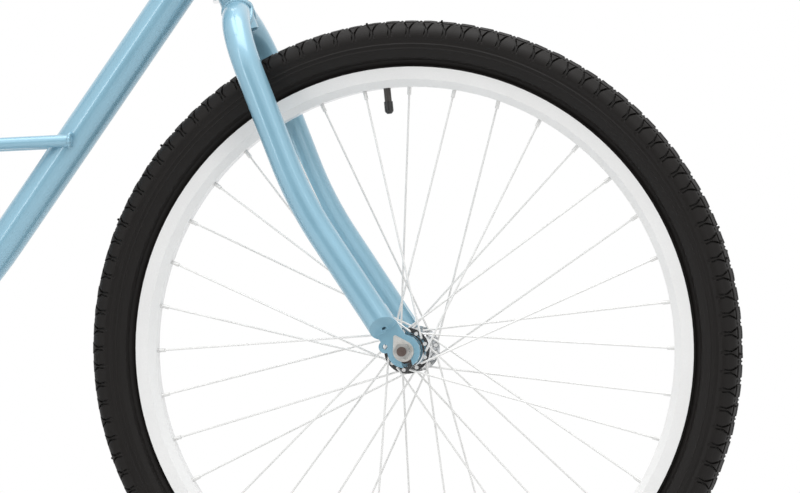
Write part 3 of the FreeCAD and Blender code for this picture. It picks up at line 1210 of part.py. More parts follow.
# Seat post, its clamp on the seat tube, and the sprung saddle.
post_blank = turned("post_blank", on_seat(0).multiply(at(0, 0, 0, Rotation(Vector(0, 1, 0), -90))), [
    ("post_low", "post_radius - post_wall"), ("post_low", "post_radius"),
    ("post_high - post_neck_length - 8", "post_radius"), ("post_high - post_neck_length", "post_neck_radius"),
    ("post_high", "post_neck_radius"), ("post_high", "post_neck_radius - post_wall"),
    ("post_high - post_neck_length", "post_neck_radius - post_wall"),
    ("post_high - post_neck_length - 8", "post_radius - post_wall"),
])
node("seat_post", post_blank)
clamp_place = on_seat(val("seat_length - 20"))
collar = cylinder("collar", "seat_radius + 4", "20", clamp_place)
collar_ears = box("collar_ears", "16", "15", "14", clamp_place.multiply(at(val("-seat_radius - 15"), -7.5,
        3)))
collar_bore = cylinder("collar_bore", "seat_radius", "20", clamp_place)
collar_slot = box("collar_slot", "26", "3", "20", clamp_place.multiply(at(val("-seat_radius - 18"), -1.5, 0)))
collar_ring = cut("collar_ring", fuse("collar_blank", [collar, collar_ears]), [collar_bore, collar_slot])
collar_bolt_place = clamp_place.multiply(at(val("-seat_radius - 8.5"), -13, 10, ALONG_Y))
collar_bolt = fuse("collar_bolt", [
    cylinder("collar_bolt_shank", "3", "24", collar_bolt_place),
    hexagon("collar_bolt_head", "10", "5", collar_bolt_place),
    hexagon("collar_nut", "10", "5", collar_bolt_place.multiply(at(0, 0, 21))),
])
node("seat_clamp", group("seat_clamp", [cut("collar_drilled", collar_ring, [collar_bolt]), collar_bolt]))

saddle_at = on_seat(val("post_high - post_neck_length / 2 + 8")).Base
core_place = on_seat(val("post_high - post_neck_length / 2 - 7"))
core_round = cylinder("clamp_core_round", "core_radius", "30", core_place)
core_bore = cylinder("clamp_core_bore", "post_neck_radius + running_gap", "30", core_place)
cheek_out = val("rail_half + wire_radius + cheek_cover")
bolt_reach = "rail_half + wire_radius + cheek_cover + free_gap + 7"
bolt_place = at(saddle_at.x, -val(bolt_reach), saddle_at.z, ALONG_Y)
cross_bolt = cylinder("saddle_bolt", "saddle_bolt_radius", f"({bolt_reach}) * 2", bolt_place)
bolt_head = hexagon("saddle_bolt_head", "saddle_bolt_flats", "5.5",
                    at(saddle_at.x, -cheek_out - val("free_gap") - 5.5, saddle_at.z, ALONG_Y))
bolt_nut = hexagon("saddle_bolt_nut", "saddle_bolt_flats", "5.5",
                   at(saddle_at.x, cheek_out + val("free_gap"), saddle_at.z, ALONG_Y))
core_blank = fuse("saddle_core_blank", [core_round, cross_bolt, bolt_head, bolt_nut])
node("saddle_clamp_core", cut("saddle_clamp_core", core_blank, [core_bore]))
rail_z = val("rail_up")
rail_line = path("rail_line", [
    saddle_at + Vector(val("saddle_nose - 30"), -8, val("saddle_rise - wire_radius")),
    saddle_at + Vector(val("saddle_nose - 70"), -10, val("saddle_rise - wire_radius - 6")),
    saddle_at + Vector(30, val("-rail_half"), rail_z), saddle_at + Vector(-32, val("-rail_half"), rail_z),
    saddle_at + Vector(-72, -56, val("saddle_rise - spring_height - wire_radius")),
    saddle_at + Vector(-100, -84, val("saddle_rise - spring_height - wire_radius")),
], [15, 40, 25, 15])
rail = rod("right_rail", rail_line, "wire_radius")
rails = group("rails", [rail, mirror("left_rail", rail)])
# The cheeks turn on the cross bolt, clear of the core, and grip the rails above it.
cheek_thick = "rail_half + wire_radius + cheek_cover - core_radius - free_gap"
cheek_place = at(saddle_at.x, -cheek_out, saddle_at.z, ALONG_Y)
cheek_disc = cylinder("cheek_disc", "rail_up + wire_radius + cheek_cover", cheek_thick, cheek_place)
cheek_bore = cylinder("cheek_bore", "saddle_bolt_radius + running_gap", cheek_thick, cheek_place)
cheek = cut("right_cheek", cheek_disc, [cheek_bore, rail])
node("saddle_clamp", pair("saddle_clamp", cheek))
node("saddle_rails", rails)
spring_low = saddle_at + Vector(-92, -78, val("saddle_rise - spring_height"))
spring_pitch = val("(spring_height - 2 * spring_wire - 1) / spring_turns")
coil = Part.makeHelix(spring_pitch, spring_pitch * val("spring_turns"), val("spring_radius"))
coil_start = Part.Wire(Part.makeCircle(val("spring_wire"), Vector(val("spring_radius"), 0, 0), Vector(0, 1,
        0)))
spring = doc.addObject("Part::Feature", "right_spring")
spring.Shape = Part.Wire(coil).makePipeShell([coil_start], True, True)
spring.Placement = Placement(spring_low + Vector(0, 0, val("spring_wire + 0.5")), Rotation(Vector(0, 0, 1),
        40))
node("saddle_springs", pair("saddle_springs", spring))
cushion_place = Placement(saddle_at + Vector(0, 0, val("saddle_rise + saddle_thick / 2")), Rotation())
cushion_blank = plate("cushion_blank", cushion_place, "saddle_thick", [
    ("-saddle_back", "-saddle_width * 0.28", "saddle_width * 0.25", "left"),
    ("-saddle_back + 48", "-saddle_width / 2", "saddle_width * 0.22", "left"),
    ("5", "-saddle_width * 0.32", "150", "right"),
    ("saddle_nose - 25", "-nose_half", "nose_half * 1.05", "left"), ("saddle_nose", "0", "nose_half * 1.05",
                                                                     "left"),
    ("saddle_nose - 25", "nose_half", "150", "right"),
    ("5", "saddle_width * 0.32", "saddle_width * 0.22", "left"),
    ("-saddle_back + 48", "saddle_width / 2", "saddle_width * 0.25", "left"),
    ("-saddle_back", "saddle_width * 0.28", "saddle_width", "left"),
])
node("saddle_cushion", cushion_blank)

# Quill stem with its expander wedge and bolts.
clamp_at = on_steer(val("clamp_up"), val("clamp_forward"))
stem_line = path("stem_line", [on_steer(val("quill_low")), on_steer(val("clamp_up - 8")), clamp_at], [22])
quill = rod("quill", stem_line, "quill_radius")
clamp_end = at(clamp_at.x, val("-clamp_width / 2"), clamp_at.z, ALONG_Y)
clamp_barrel = cylinder("clamp_barrel", "clamp_radius", "clamp_width", clamp_end)
clamp_ear = box("clamp_ear", "22", "clamp_width - 14", "16", steer_place(
    val("clamp_up") - 8, val("clamp_forward + clamp_radius") - 6, val("-clamp_width / 2 + 7")))
bar_bore = cylinder("bar_bore", "bar_radius + running_gap", "clamp_width", clamp_end)
clamp_slit = box("clamp_slit", "40", "clamp_width", "2.4", steer_place(
    val("clamp_up") - 1.2, val("clamp_forward"), val("-clamp_width / 2")))
bolt_bore = cylinder("expander_bore", "4.2", "clamp_up - quill_low + 20", steer_place(val("quill_low")))
pinch_place = steer_place(val("clamp_up") - 13, val("clamp_forward + clamp_radius") + 8)
pinch_bolt = fuse("pinch_bolt", [
    cylinder("pinch_shank", "3.2", "24", pinch_place), hexagon("pinch_head", "12", "5",
                                                               pinch_place.multiply(at(0, 0, 21))),
    hexagon("pinch_nut", "12", "5", pinch_place)])
stem_blank = fuse("stem_blank", [quill, clamp_barrel, clamp_ear])
expander = fuse("expander_bolt", [
    cylinder("expander_shank", "4", "clamp_up - quill_low + 40", steer_place(val("quill_low") - 38)),
    hexagon("expander_head", "13", "6", steer_place(val("clamp_up + 5")))])
wedge_block = cylinder("wedge_block", "quill_radius", "36", steer_place(val("quill_low") - 36.5))
wedge_slant = box("wedge_slant", "60", "60", "60", steer_place(
    val("quill_low") - 18, -30, -30, Rotation(Vector(0, 1, 0), 35)))
node("stem", cut("stem", stem_blank, [bar_bore, clamp_slit, bolt_bore, pinch_bolt, expander]))
wedge = cut("stem_wedge_block", wedge_block, [wedge_slant, expander])
node("stem_hardware", group("stem_hardware", [wedge, expander, pinch_bolt]))

# Swept-back handlebar in one bend, with a grip on each end.
bar_half = [Vector(0, 55, 0), Vector(35, 150, 75), Vector(-10, 285, 100), Vector(-250, 330, 70)]
bar_corners = [clamp_at + Vector(point.x, -point.y, point.z) for point in reversed(bar_half)]
bar_corners += [clamp_at + point for point in bar_half]
bar_line = path("bar_line", bar_corners, [90, 70, 60, 60, 70, 90])
node("handlebar", tube("handlebar", bar_line, "bar_radius", "bar_wall"))
for side, word in ((-1, "right"), (1, "left")):
    tip = clamp_at + Vector(bar_half[3].x, side * bar_half[3].y, bar_half[3].z)
    inward = Vector(bar_half[2].x - bar_half[3].x, side * (bar_half[2].y - bar_half[3].y),
                    bar_half[2].z - bar_half[3].z)
    grip_place = Placement(tip, Rotation(Vector(1, 0, 0), inward))
    node(f"{word}_grip", turned(f"{word}_grip", grip_place, [
        ("-5", "0"), ("-5", "grip_radius - 3"), ("-2", "grip_radius"), ("10", "grip_radius"), ("16",
                "grip_radius - 2"),
        ("grip_length - 16", "grip_radius - 2"), ("grip_length - 10", "grip_radius"), ("grip_length - 4",
                "grip_radius"),
        ("grip_length", "grip_radius - 2.5"), ("grip_length", "bar_radius + running_gap"),
        ("0", "bar_radius + running_gap"), ("0", "0"),
    ]))

# Chain guard over the upper run, with a lip above the chain and two brackets.
guard_y = val("-guard_line - guard_thick / 2")
guard_place = Placement(Vector(bracket.x, guard_y, bracket.z), Rotation(Vector(1, 0, 0), 90))
chain_top = f"{ring_pitch:.3f} + link_radius"
rear_top = f"{rear_hub.z - bracket.z + cog_pitch:.3f} + link_radius"
guard_back = f"{rear_hub.x - bracket.x + 130:.3f}"
guard = plate("guard_plate", guard_place, "guard_thick", [
    (guard_back, f"{rear_top} - 14"), ("-80", f"{chain_top} - 30"), ("-52", "40", "64", "right"), ("52",
            "40"),
    ("84", "64", "105", "left"), ("0", f"{chain_top} + 13"), ("-60", f"{chain_top} + 11"), (guard_back,
            f"{rear_top} + 13"),
])
front_tab_at = Vector(bracket.x - 58, val("-guard_line"), bracket.z + ring_pitch + val("link_radius") + 6)
front_tab = box("guard_front_tab", "14", "guard_line - 4", "2", Placement(front_tab_at, Rotation()))
front_tab_cut = cut("guard_front_bracket", front_tab, [seat_outer])
rear_tab_x = rear_hub.x + 160
rear_tab_low = chainstay_corners[2] + (stay_to - stay_from) * share
rear_tab = box("guard_rear_tab", "14", "2", "60", at(rear_tab_x - 7, val("-guard_line"), rear_tab_low.z))
rear_tab_cut = cut("guard_rear_bracket", rear_tab, [chainstay_solid])
node("chain_guard", group("chain_guard", [guard, front_tab_cut, rear_tab_cut]))

# Kickstand on the left chainstay. Its pivot is square to the leg when it is down and when it is folded back.
stand_x = rear_hub.x + 90
stand_share = (stand_x - stay_from.x) / (stay_to.x - stay_from.x)
stand_at = stay_from + (stay_to - stay_from) * stand_share
stand_at.y = -stand_at.y
leg_down = Vector(0.174, 0.4147, -0.8933).normalize()
leg_back = Vector(-0.98, 0.10, -0.17).normalize()
pivot = leg_down.cross(leg_back).normalize()
sleeve_place = Placement(stand_at - stay_way * 14, Rotation(Vector(0, 0, 1), stay_way))
stand_sleeve = cylinder("stand_sleeve", "chainstay_radius + 3", "28", sleeve_place)
stand_core = cylinder("stand_core", "chainstay_radius", "28", sleeve_place)
pivot_place = Placement(stand_at, Rotation(Vector(0, 0, 1), pivot))
stand_stub = cylinder("stand_stub", "stand_pin", "30", pivot_place)
stand_cap = cylinder("stand_cap", "stand_pin + 4", "4", pivot_place.multiply(at(0, 0, 30)))
node("kickstand_bracket", cut("kickstand_bracket", fuse("stand_blank", [stand_sleeve, stand_stub,
        stand_cap]), [stand_core]))
eye_at = stand_at + pivot * 21.5
foot = eye_at + leg_down * val("stand_length")
toe = foot + Vector(0.86, 0.35, -0.37).normalize() * 34
leg_line = path("leg_line", [eye_at, foot, toe], [28])
leg = rod("stand_leg", leg_line, "stand_radius")
leg_eye = cylinder("stand_eye", "stand_pin + 5", "15", pivot_place.multiply(at(0, 0, 14.3)))
leg_bore = cylinder("stand_bore", "stand_pin + running_gap", "40", pivot_place)
node("kickstand_leg", cut("kickstand_leg", fuse("stand_leg_blank", [leg, leg_eye]), [leg_bore]))

doc.recompute()
failed = [thing.Name for thing in doc.Objects if "Invalid" in thing.State or "Error" in thing.State]
if failed:
    raise RuntimeError("failed objects: " + ", ".join(failed))
for thing in nodes:
    if thing.Shape.isNull() or not thing.Shape.isValid() or not thing.Shape.Solids:
        raise RuntimeError("bad shape: " + thing.Label)

os.makedirs("parts", exist_ok=True)
for thing in nodes:
    thing.Shape.exportStep(f"parts/{thing.Label}.step")
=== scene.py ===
import math

import bmesh
import bpy
import numpy as np
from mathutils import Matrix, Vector


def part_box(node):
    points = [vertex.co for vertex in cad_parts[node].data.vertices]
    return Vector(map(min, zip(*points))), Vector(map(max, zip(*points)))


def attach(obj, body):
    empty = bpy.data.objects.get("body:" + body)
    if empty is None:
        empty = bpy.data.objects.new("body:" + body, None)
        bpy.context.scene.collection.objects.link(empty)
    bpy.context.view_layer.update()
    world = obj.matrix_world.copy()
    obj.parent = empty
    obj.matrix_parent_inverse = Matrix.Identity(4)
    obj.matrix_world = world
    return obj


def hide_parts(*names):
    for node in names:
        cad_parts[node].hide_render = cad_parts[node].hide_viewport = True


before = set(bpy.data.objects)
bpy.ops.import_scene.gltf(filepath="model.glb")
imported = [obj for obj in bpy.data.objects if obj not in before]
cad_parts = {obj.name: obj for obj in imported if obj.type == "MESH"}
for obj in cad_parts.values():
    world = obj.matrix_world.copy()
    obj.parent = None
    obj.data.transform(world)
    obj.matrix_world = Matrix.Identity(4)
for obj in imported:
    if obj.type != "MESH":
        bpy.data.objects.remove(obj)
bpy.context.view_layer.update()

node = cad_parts

# Frame and fork tubes: thin steel tubes and plates, bent, mitred and welded to each other.
# They are sprayed a metallic powder blue. Flakes sit in the colour coat, and the clear lacquer over them has
# a slight orange-peel skin.


def surface_group():
    """Node group of two noises on Object coordinates, one broad and one fine.

    Tone is half of each noise added up, Wear is the broad noise stretched over 0 to 1, and Height is the fine
    noise.
    """
    group = bpy.data.node_groups.new("handled_surface", "ShaderNodeTree")
    for label in ("Broad scale", "Fine scale"):
        group.interface.new_socket(label, in_out="INPUT", socket_type="NodeSocketFloat")
    for label in ("Tone", "Wear", "Height"):
        group.interface.new_socket(label, in_out="OUTPUT", socket_type="NodeSocketFloat")
    nodes, links = group.nodes, group.links
    entry = nodes.new("NodeGroupInput")
    leave = nodes.new("NodeGroupOutput")
    place = nodes.new("ShaderNodeTexCoord")
    broad = nodes.new("ShaderNodeTexNoise")
    broad.inputs["Detail"].default_value = 4.0
    fine = nodes.new("ShaderNodeTexNoise")
    fine.inputs["Detail"].default_value = 2.0
    for noise, label in ((broad, "Broad scale"), (fine, "Fine scale")):
        links.new(place.outputs["Object"], noise.inputs["Vector"])
        links.new(entry.outputs[label], noise.inputs["Scale"])
    wear = nodes.new("ShaderNodeMapRange")
    wear.inputs["From Min"].default_value = 0.35
    wear.inputs["From Max"].default_value = 0.7
    links.new(broad.outputs["Fac"], wear.inputs["Value"])
    fine_half = nodes.new("ShaderNodeMath")
    fine_half.operation = "MULTIPLY"
    fine_half.inputs[1].default_value = 0.5
    links.new(fine.outputs["Fac"], fine_half.inputs[0])
    tone = nodes.new("ShaderNodeMath")
    tone.operation = "MULTIPLY_ADD"
    tone.inputs[1].default_value = 0.5
    links.new(broad.outputs["Fac"], tone.inputs[0])
    links.new(fine_half.outputs[0], tone.inputs[2])
    links.new(tone.outputs[0], leave.inputs["Tone"])
    links.new(wear.outputs["Result"], leave.inputs["Wear"])
    links.new(fine.outputs["Fac"], leave.inputs["Height"])
    return group


handled_surface = surface_group()


def finish(name, dark, light, rough, bump, scales, **sockets):
    """A material whose colour runs between two tones and whose roughness runs between two values.

    Tone, roughness and the height of the bumped skin come from the handled_surface group, at the given broad
    and fine noise scales. The other keywords set constant sockets of the Principled shader.
    """
    material = bpy.data.materials.new(name)
    material.use_nodes = True
    nodes, links = material.node_tree.nodes, material.node_tree.links
    shader = nodes["Principled BSDF"]
    surface = nodes.new("ShaderNodeGroup")
    surface.node_tree = handled_surface
    surface.inputs["Broad scale"].default_value = scales[0]
    surface.inputs["Fine scale"].default_value = scales[1]
    tone = nodes.new("ShaderNodeValToRGB")
    tone.color_ramp.elements[0].position = 0.3
    tone.color_ramp.elements[0].color = (*dark, 1)
    tone.color_ramp.elements[1].position = 0.7
    tone.color_ramp.elements[1].color = (*light, 1)
    links.new(surface.outputs["Tone"], tone.inputs["Fac"])
    links.new(tone.outputs["Color"], shader.inputs["Base Color"])
    polish = nodes.new("ShaderNodeMapRange")
    polish.inputs["To Min"].default_value = rough[0]
    polish.inputs["To Max"].default_value = rough[1]
    links.new(surface.outputs["Wear"], polish.inputs["Value"])
    links.new(polish.outputs["Result"], shader.inputs["Roughness"])
    if bump:
        skin = nodes.new("ShaderNodeBump")
        skin.inputs["Strength"].default_value = bump
        skin.inputs["Distance"].default_value = 0.0004
        links.new(surface.outputs["Height"], skin.inputs["Height"])
        links.new(skin.outputs["Normal"], shader.inputs["Normal"])
    for label, value in sockets.items():
        shader.inputs[label.replace("_", " ")].default_value = value
    return material


def wear_on(material, *names):
    """Gives one finish to CAD nodes, in place of the one they came with."""
    for name in names:
        node[name].data.materials.clear()
        node[name].data.materials.append(material)


powder_blue = finish(
    "powder_blue", dark=(0.216, 0.414, 0.530), light=(0.263, 0.476, 0.595), rough=(0.36, 0.46), bump=0.05,
    scales=(14.0, 1500.0), Metallic=0.28, Coat_Weight=1.0, Coat_Roughness=0.1, Coat_IOR=1.5)
wear_on(powder_blue, "head_tube", "top_tube", "down_tube", "seat_tube", "bottom_bracket_shell",
        "right_chainstay", "left_chainstay", "right_cantilever_stay", "left_cantilever_stay", "rear_dropouts",
        "stay_bridges", "chain_guard", "steerer_tube", "right_fork_blade", "left_fork_blade",
        "front_dropouts")

# Frame welds: beads of melted wire run by hand round each mitre, and painted with the frame.
# A bead follows the line where one tube's skin meets the next tube, and its thickness ripples along it.
same_place = 1e-7
ring_sides = 8
bead_steps = 150
spine_steps = 500
ripple_share = 0.12
ripple_pitch = 0.0026


def mesh_piece(name, points, faces, material, body, smooth=True):
    """Puts arrays of points and quads into a mesh at the origin, shuts its poles, and rides it on a body."""
    mesh = bpy.data.meshes.new(name)
    mesh.from_pydata(points.reshape(-1, 3).tolist(), [], faces.tolist())
    shell = bmesh.new()
    shell.from_mesh(mesh)
    bmesh.ops.remove_doubles(shell, verts=shell.verts, dist=same_place)
    shell.to_mesh(mesh)
    shell.free()
    mesh.polygons.foreach_set("use_smooth", np.full(len(mesh.polygons), smooth))
    mesh.materials.append(material)
    piece = bpy.data.objects.new(name, mesh)
    bpy.context.scene.collection.objects.link(piece)
    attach(piece, body)
    return piece


def grid_faces(rows, columns, wrap_rows, wrap_columns):
    """Quads of a grid of rows by columns; a wrapped direction joins its last line to its first."""
    i = np.arange(rows if wrap_rows else rows - 1)[:, None]
    j = np.arange(columns if wrap_columns else columns - 1)[None, :]
    next_i, next_j = (i + 1) % rows, (j + 1) % columns
    corners = [i * columns + j, i * columns + next_j, next_i * columns + next_j, next_i * columns + j]
    grid = (i.shape[0], j.shape[1])
    return np.stack([np.broadcast_to(corner, grid) for corner in corners], -1).reshape(-1, 4)


def unit(vectors):
    """Vectors divided by their own lengths."""
    return vectors / np.linalg.norm(vectors, axis=-1, keepdims=True)


def ring_tube(line, radius):
    """Points of a closed tube: a circle of the given radius carried along a closed line, square to it."""
    along = unit(np.roll(line, -1, 0) - np.roll(line, 1, 0))
    outward = line - line.mean(0)
    outward = unit(outward - (outward * along).sum(-1, keepdims=True) * along)
    side = np.cross(along, outward)
    turn = np.linspace(0, 2 * math.pi, ring_sides, endpoint=False)[None, :, None]
    circle = np.cos(turn) * outward[:, None] + np.sin(turn) * side[:, None]
    return line[:, None] + np.asarray(radius)[:, None, None] * circle


def weld_line(spine, radius, trunk_at, trunk_way, trunk_radius):
    """Where a round tube along a spine meets a straight trunk tube.

    For each direction round the spine the skin is followed from the spine's start, and the first point that
    lies inside the trunk's radius is kept.
    """
    skew = np.array([0.331, 0.9, 0.283])
    along = unit(np.gradient(spine, axis=0))
    across = unit(np.cross(along, skew))
    other = np.cross(along, across)
    turn = np.linspace(0, 2 * math.pi, bead_steps, endpoint=False)[None, :, None]
    skin = spine[:, None] + radius * (np.cos(turn) * across[:, None] + np.sin(turn) * other[:, None])
    way = np.asarray(trunk_way, float) / np.linalg.norm(trunk_way)
    offset = skin - np.asarray(trunk_at)
    gap = np.linalg.norm(offset - (offset @ way)[..., None] * way, axis=-1) - trunk_radius
    inside = gap < 0
    first = np.where(inside.any(0), inside.argmax(0), len(spine) - 1)
    return skin[first, np.arange(bead_steps)]


def weld(name, body, spine, radius, trunk_at, trunk_way, trunk_radius, size):
    """A bead along a weld line, whose radius swells and shrinks by a share, as the cosine of the run does."""
    line = weld_line(np.asarray(spine, float), radius, trunk_at, trunk_way, trunk_radius)
    step = np.linalg.norm(np.roll(line, -1, 0) - line, axis=1)
    run = np.concatenate([[0], np.cumsum(step)[:-1]])
    ripple = size * (1 + ripple_share * np.cos(run / ripple_pitch * 2 * math.pi))
    line = (line + np.roll(line, 1, 0) + np.roll(line, -1, 0)) / 3
    faces = grid_faces(len(line), ring_sides, True, True)
    piece = mesh_piece(name, ring_tube(line, ripple), faces, powder_blue, body)


def line_between(start, end):
    """Evenly spaced points on a straight line."""
    return np.linspace(np.asarray(start, float), np.asarray(end, float), spine_steps)


head_lean = math.radians(21.5)
steer_up = np.array([-math.sin(head_lean), 0, math.cos(head_lean)])
steer_ahead = np.array([math.cos(head_lean), 0, math.sin(head_lean)])
front_hub = np.array([0.545, 0, 0.333])
fork_offset = 0.0427
steer_foot = front_hub - fork_offset * steer_ahead
bracket = np.array([-0.060799, 0, 0.290])
seat_lean = math.radians(22)
seat_up = np.array([-math.sin(seat_lean), 0, math.cos(seat_lean)])
down_slope = math.radians(54.55)
down_way = np.array([-math.cos(down_slope), 0, -math.sin(down_slope)])
down_top = steer_foot + 0.4636 * steer_up
top_front = steer_foot + 0.531 * steer_up
top_way_back = np.array([-0.06, 0, -0.0012])
head_radius = 0.018
down_radius = 0.019
top_radius = 0.0175
seat_radius = 0.0143
shell_radius = 0.0285
followed_run = 0.06
main_bead = 0.0028
thin_bead = 0.0026

weld("down_tube_weld", "frame", line_between(down_top + followed_run * down_way, down_top), down_radius,
     down_top, steer_up, head_radius, main_bead)
weld("top_tube_weld", "frame", line_between(top_front + top_way_back, top_front), top_radius,
     top_front, steer_up, head_radius, main_bead)
weld("seat_tube_weld", "frame", line_between(bracket + followed_run * seat_up, bracket), seat_radius,
     bracket, (0, 1, 0), shell_radius, thin_bead)

# Cantilever stay ends: the two thin steel stays run up to the sides of the down tube and are welded there.
# Each end is shut by a low painted dome, with a bead round it.
stay_end = down_top + 0.2477 * down_way + 0.0016 * np.array([0.8146, 0, -0.58])
stay_beside = 0.021
stay_radius = 0.0062
end_steps = 90
end_bead = 0.0021
end_ripple = 0.14
end_ripples = 13
bead_back = 0.0012
dome_back = 0.001
dome_rise = 0.0024
dome_rows = 13
for side, word in ((-1, "right"), (1, "left")):
    turn = np.linspace(0, 2 * math.pi, end_steps, endpoint=False)
    rim = np.stack([np.zeros(end_steps), np.cos(turn), np.sin(turn)], -1)
    ring = stay_end + [-bead_back, side * stay_beside, 0] + stay_radius * rim
    thick = end_bead * (1 + end_ripple * np.cos(end_ripples * turn))
    bead_faces = grid_faces(end_steps, ring_sides, True, True)
    bead = mesh_piece(f"{word}_stay_weld", ring_tube(ring, thick), bead_faces, powder_blue, "frame")
    cap_turn = np.linspace(0, math.pi, dome_rows)[:, None, None]
    dome = np.array([1.0, 0, 0]) * (dome_rise * np.cos(cap_turn)) + stay_radius * np.sin(cap_turn) * rim[None]
    cap_points = stay_end + [-dome_back, side * stay_beside, 0] + dome
    cap_faces = grid_faces(dome_rows, end_steps, False, True)[:, ::-1]
    cap = mesh_piece(f"{word}_stay_end", cap_points, cap_faces, powder_blue, "frame")

# Fork crown: the tops of the steel blades are bent inwards and welded to the sides of the steerer.
# Each blade's bend is an arc about a point just past the steerer, and the bead lies where it runs in.
bend_radius = 0.065
bend_past = 0.010
bend_rise = 0.321
bend_steps = 600
blade_radius = 0.0143
steerer_radius = 0.0143
for side, word in ((-1, "right"), (1, "left")):
    turn = np.linspace(math.radians(20), math.radians(80), bend_steps)[:, None]
    reach = side * (-bend_past + bend_radius * np.cos(turn))
    rise = bend_rise + bend_radius * np.sin(turn)
    spine = steer_foot + rise * steer_up + reach * np.array([0, 1, 0])
    weld(f"{word}_crown_weld", "fork", spine, blade_radius, steer_foot, steer_up, steerer_radius, thin_bead)

# Chromed pieces: headset, hubs, stem, handlebar, crank, chainring, cog, seat post and kickstand.
# Forged and pressed steel, polished, with bright chrome plate that has a faint cleaning haze.
chrome = finish(
    "bright_chrome", dark=(0.70, 0.71, 0.72), light=(0.82, 0.83, 0.84), rough=(0.05, 0.13), bump=0.01,
    scales=(20.0, 600.0), Metallic=1.0)
wear_on(chrome, "headset_cups", "headset_cones", "front_hub_shell", "rear_hub_shell", "handlebar", "stem",
        "crank", "chainring", "rear_cog", "seat_post", "kickstand_leg")

# Plated hardware: rear axle, nuts, washers, bolts, bearing cups, brake arm, and the saddle's wire and clamp.
# Steel with zinc plate, greyer and duller than the chrome. The front tab washers wear a paler, less metallic
# copy of the zinc, a painted highlight that makes them look brightly lit, and the front axle is dark bare
# steel.
zinc = finish(
    "zinc_plate", dark=(0.50, 0.50, 0.48), light=(0.66, 0.66, 0.64), rough=(0.24, 0.42), bump=0.05,
    scales=(60.0, 900.0), Metallic=1.0)
wear_on(zinc, "bottom_bracket_cups", "crank_cones", "seat_clamp", "brake_arm", "rear_axle", "rear_axle_nuts",
        "front_axle_nuts", "kickstand_bracket", "stem_hardware", "pedal_spindles", "saddle_clamp",
        "saddle_clamp_core", "saddle_rails", "saddle_springs")
# Painted highlight: a paler, less metallic copy of the zinc, so that the front tab washers look brightly lit.
painted_lit_zinc = finish(
    "painted_lit_zinc", dark=(0.60, 0.59, 0.56), light=(0.80, 0.79, 0.76), rough=(0.3, 0.46), bump=0.08,
    scales=(60.0, 700.0), Metallic=0.55)
wear_on(painted_lit_zinc, "front_tab_washers")
dark_axle = finish(
    "dark_axle_steel", dark=(0.12, 0.088, 0.078), light=(0.19, 0.15, 0.135), rough=(0.32, 0.5), bump=0.06,
    scales=(80.0, 900.0), Metallic=0.9)
wear_on(dark_axle, "front_axle")

# Chain: roller links of hard steel, inner and outer by turns, joined by riveted pins.
# The steel is dark, and a film of oil gives it a soft shine.
chain_steel = finish(
    "oiled_chain", dark=(0.20, 0.19, 0.175), light=(0.36, 0.34, 0.31), rough=(0.28, 0.45), bump=0.05,
    scales=(90.0, 1200.0), Metallic=0.9)
wear_on(chain_steel, "chain")

# Spokes and nipples: drawn steel wire, galvanised bright.
# Each spoke hooks into a hub flange and is drawn tight in the rim by its nipple.
spoke_wire = finish(
    "spoke_wire", dark=(0.70, 0.70, 0.69), light=(0.80, 0.80, 0.79), rough=(0.35, 0.45), bump=0.0,
    scales=(60.0, 900.0), Metallic=0.3)
wear_on(spoke_wire, "front_spokes", "rear_spokes")

# Rims: rolled from steel strip and welded into a hoop.
# They are stove-enamelled white, with a thin gloss over the enamel.
rim_white = finish(
    "white_enamel", dark=(0.76, 0.76, 0.755), light=(0.81, 0.81, 0.805), rough=(0.28, 0.38), bump=0.02,
    scales=(12.0, 700.0), Coat_Weight=0.3, Coat_Roughness=0.15)
wear_on(rim_white, "front_rim", "rear_rim")

# Tyres: black moulded rubber with a satin side wall, two fine ribs, shoulder blocks and a blocked crown.
# The section is three arcs a side, held in the rim by its beads. The tread's slits and ring grooves are
# moulded into it, block by block round the wheel.
tyre_rubber = finish(
    "tyre_rubber", dark=(0.0062, 0.0052, 0.0047), light=(0.0092, 0.0078, 0.0070), rough=(0.45, 0.58),
    bump=0.12, scales=(40.0, 2500.0), Specular_IOR_Level=0.2)
rear_hub = front_hub * [-1, 1, 1]


def arc(start, end, radius, shares):
    """Points of an arc from start to end in the (across, radius) plane, bulging away from the wheel's middle.

    Each point lies at a share of the arc's turn.
    """
    start, end = np.asarray(start, float), np.asarray(end, float)
    run = end - start
    length = np.linalg.norm(run)
    normal = np.array([-run[1], run[0]]) / length
    centre = (start + end) / 2 + normal * math.sqrt(max(radius ** 2 - length ** 2 / 4, 0))
    first = math.atan2(*(start - centre)[::-1])
    last = math.atan2(*(end - centre)[::-1])
    turn = first + ((last - first + math.pi) % (2 * math.pi) - math.pi) * np.asarray(shares)
    return centre + radius * np.stack([np.cos(turn), np.sin(turn)], -1)


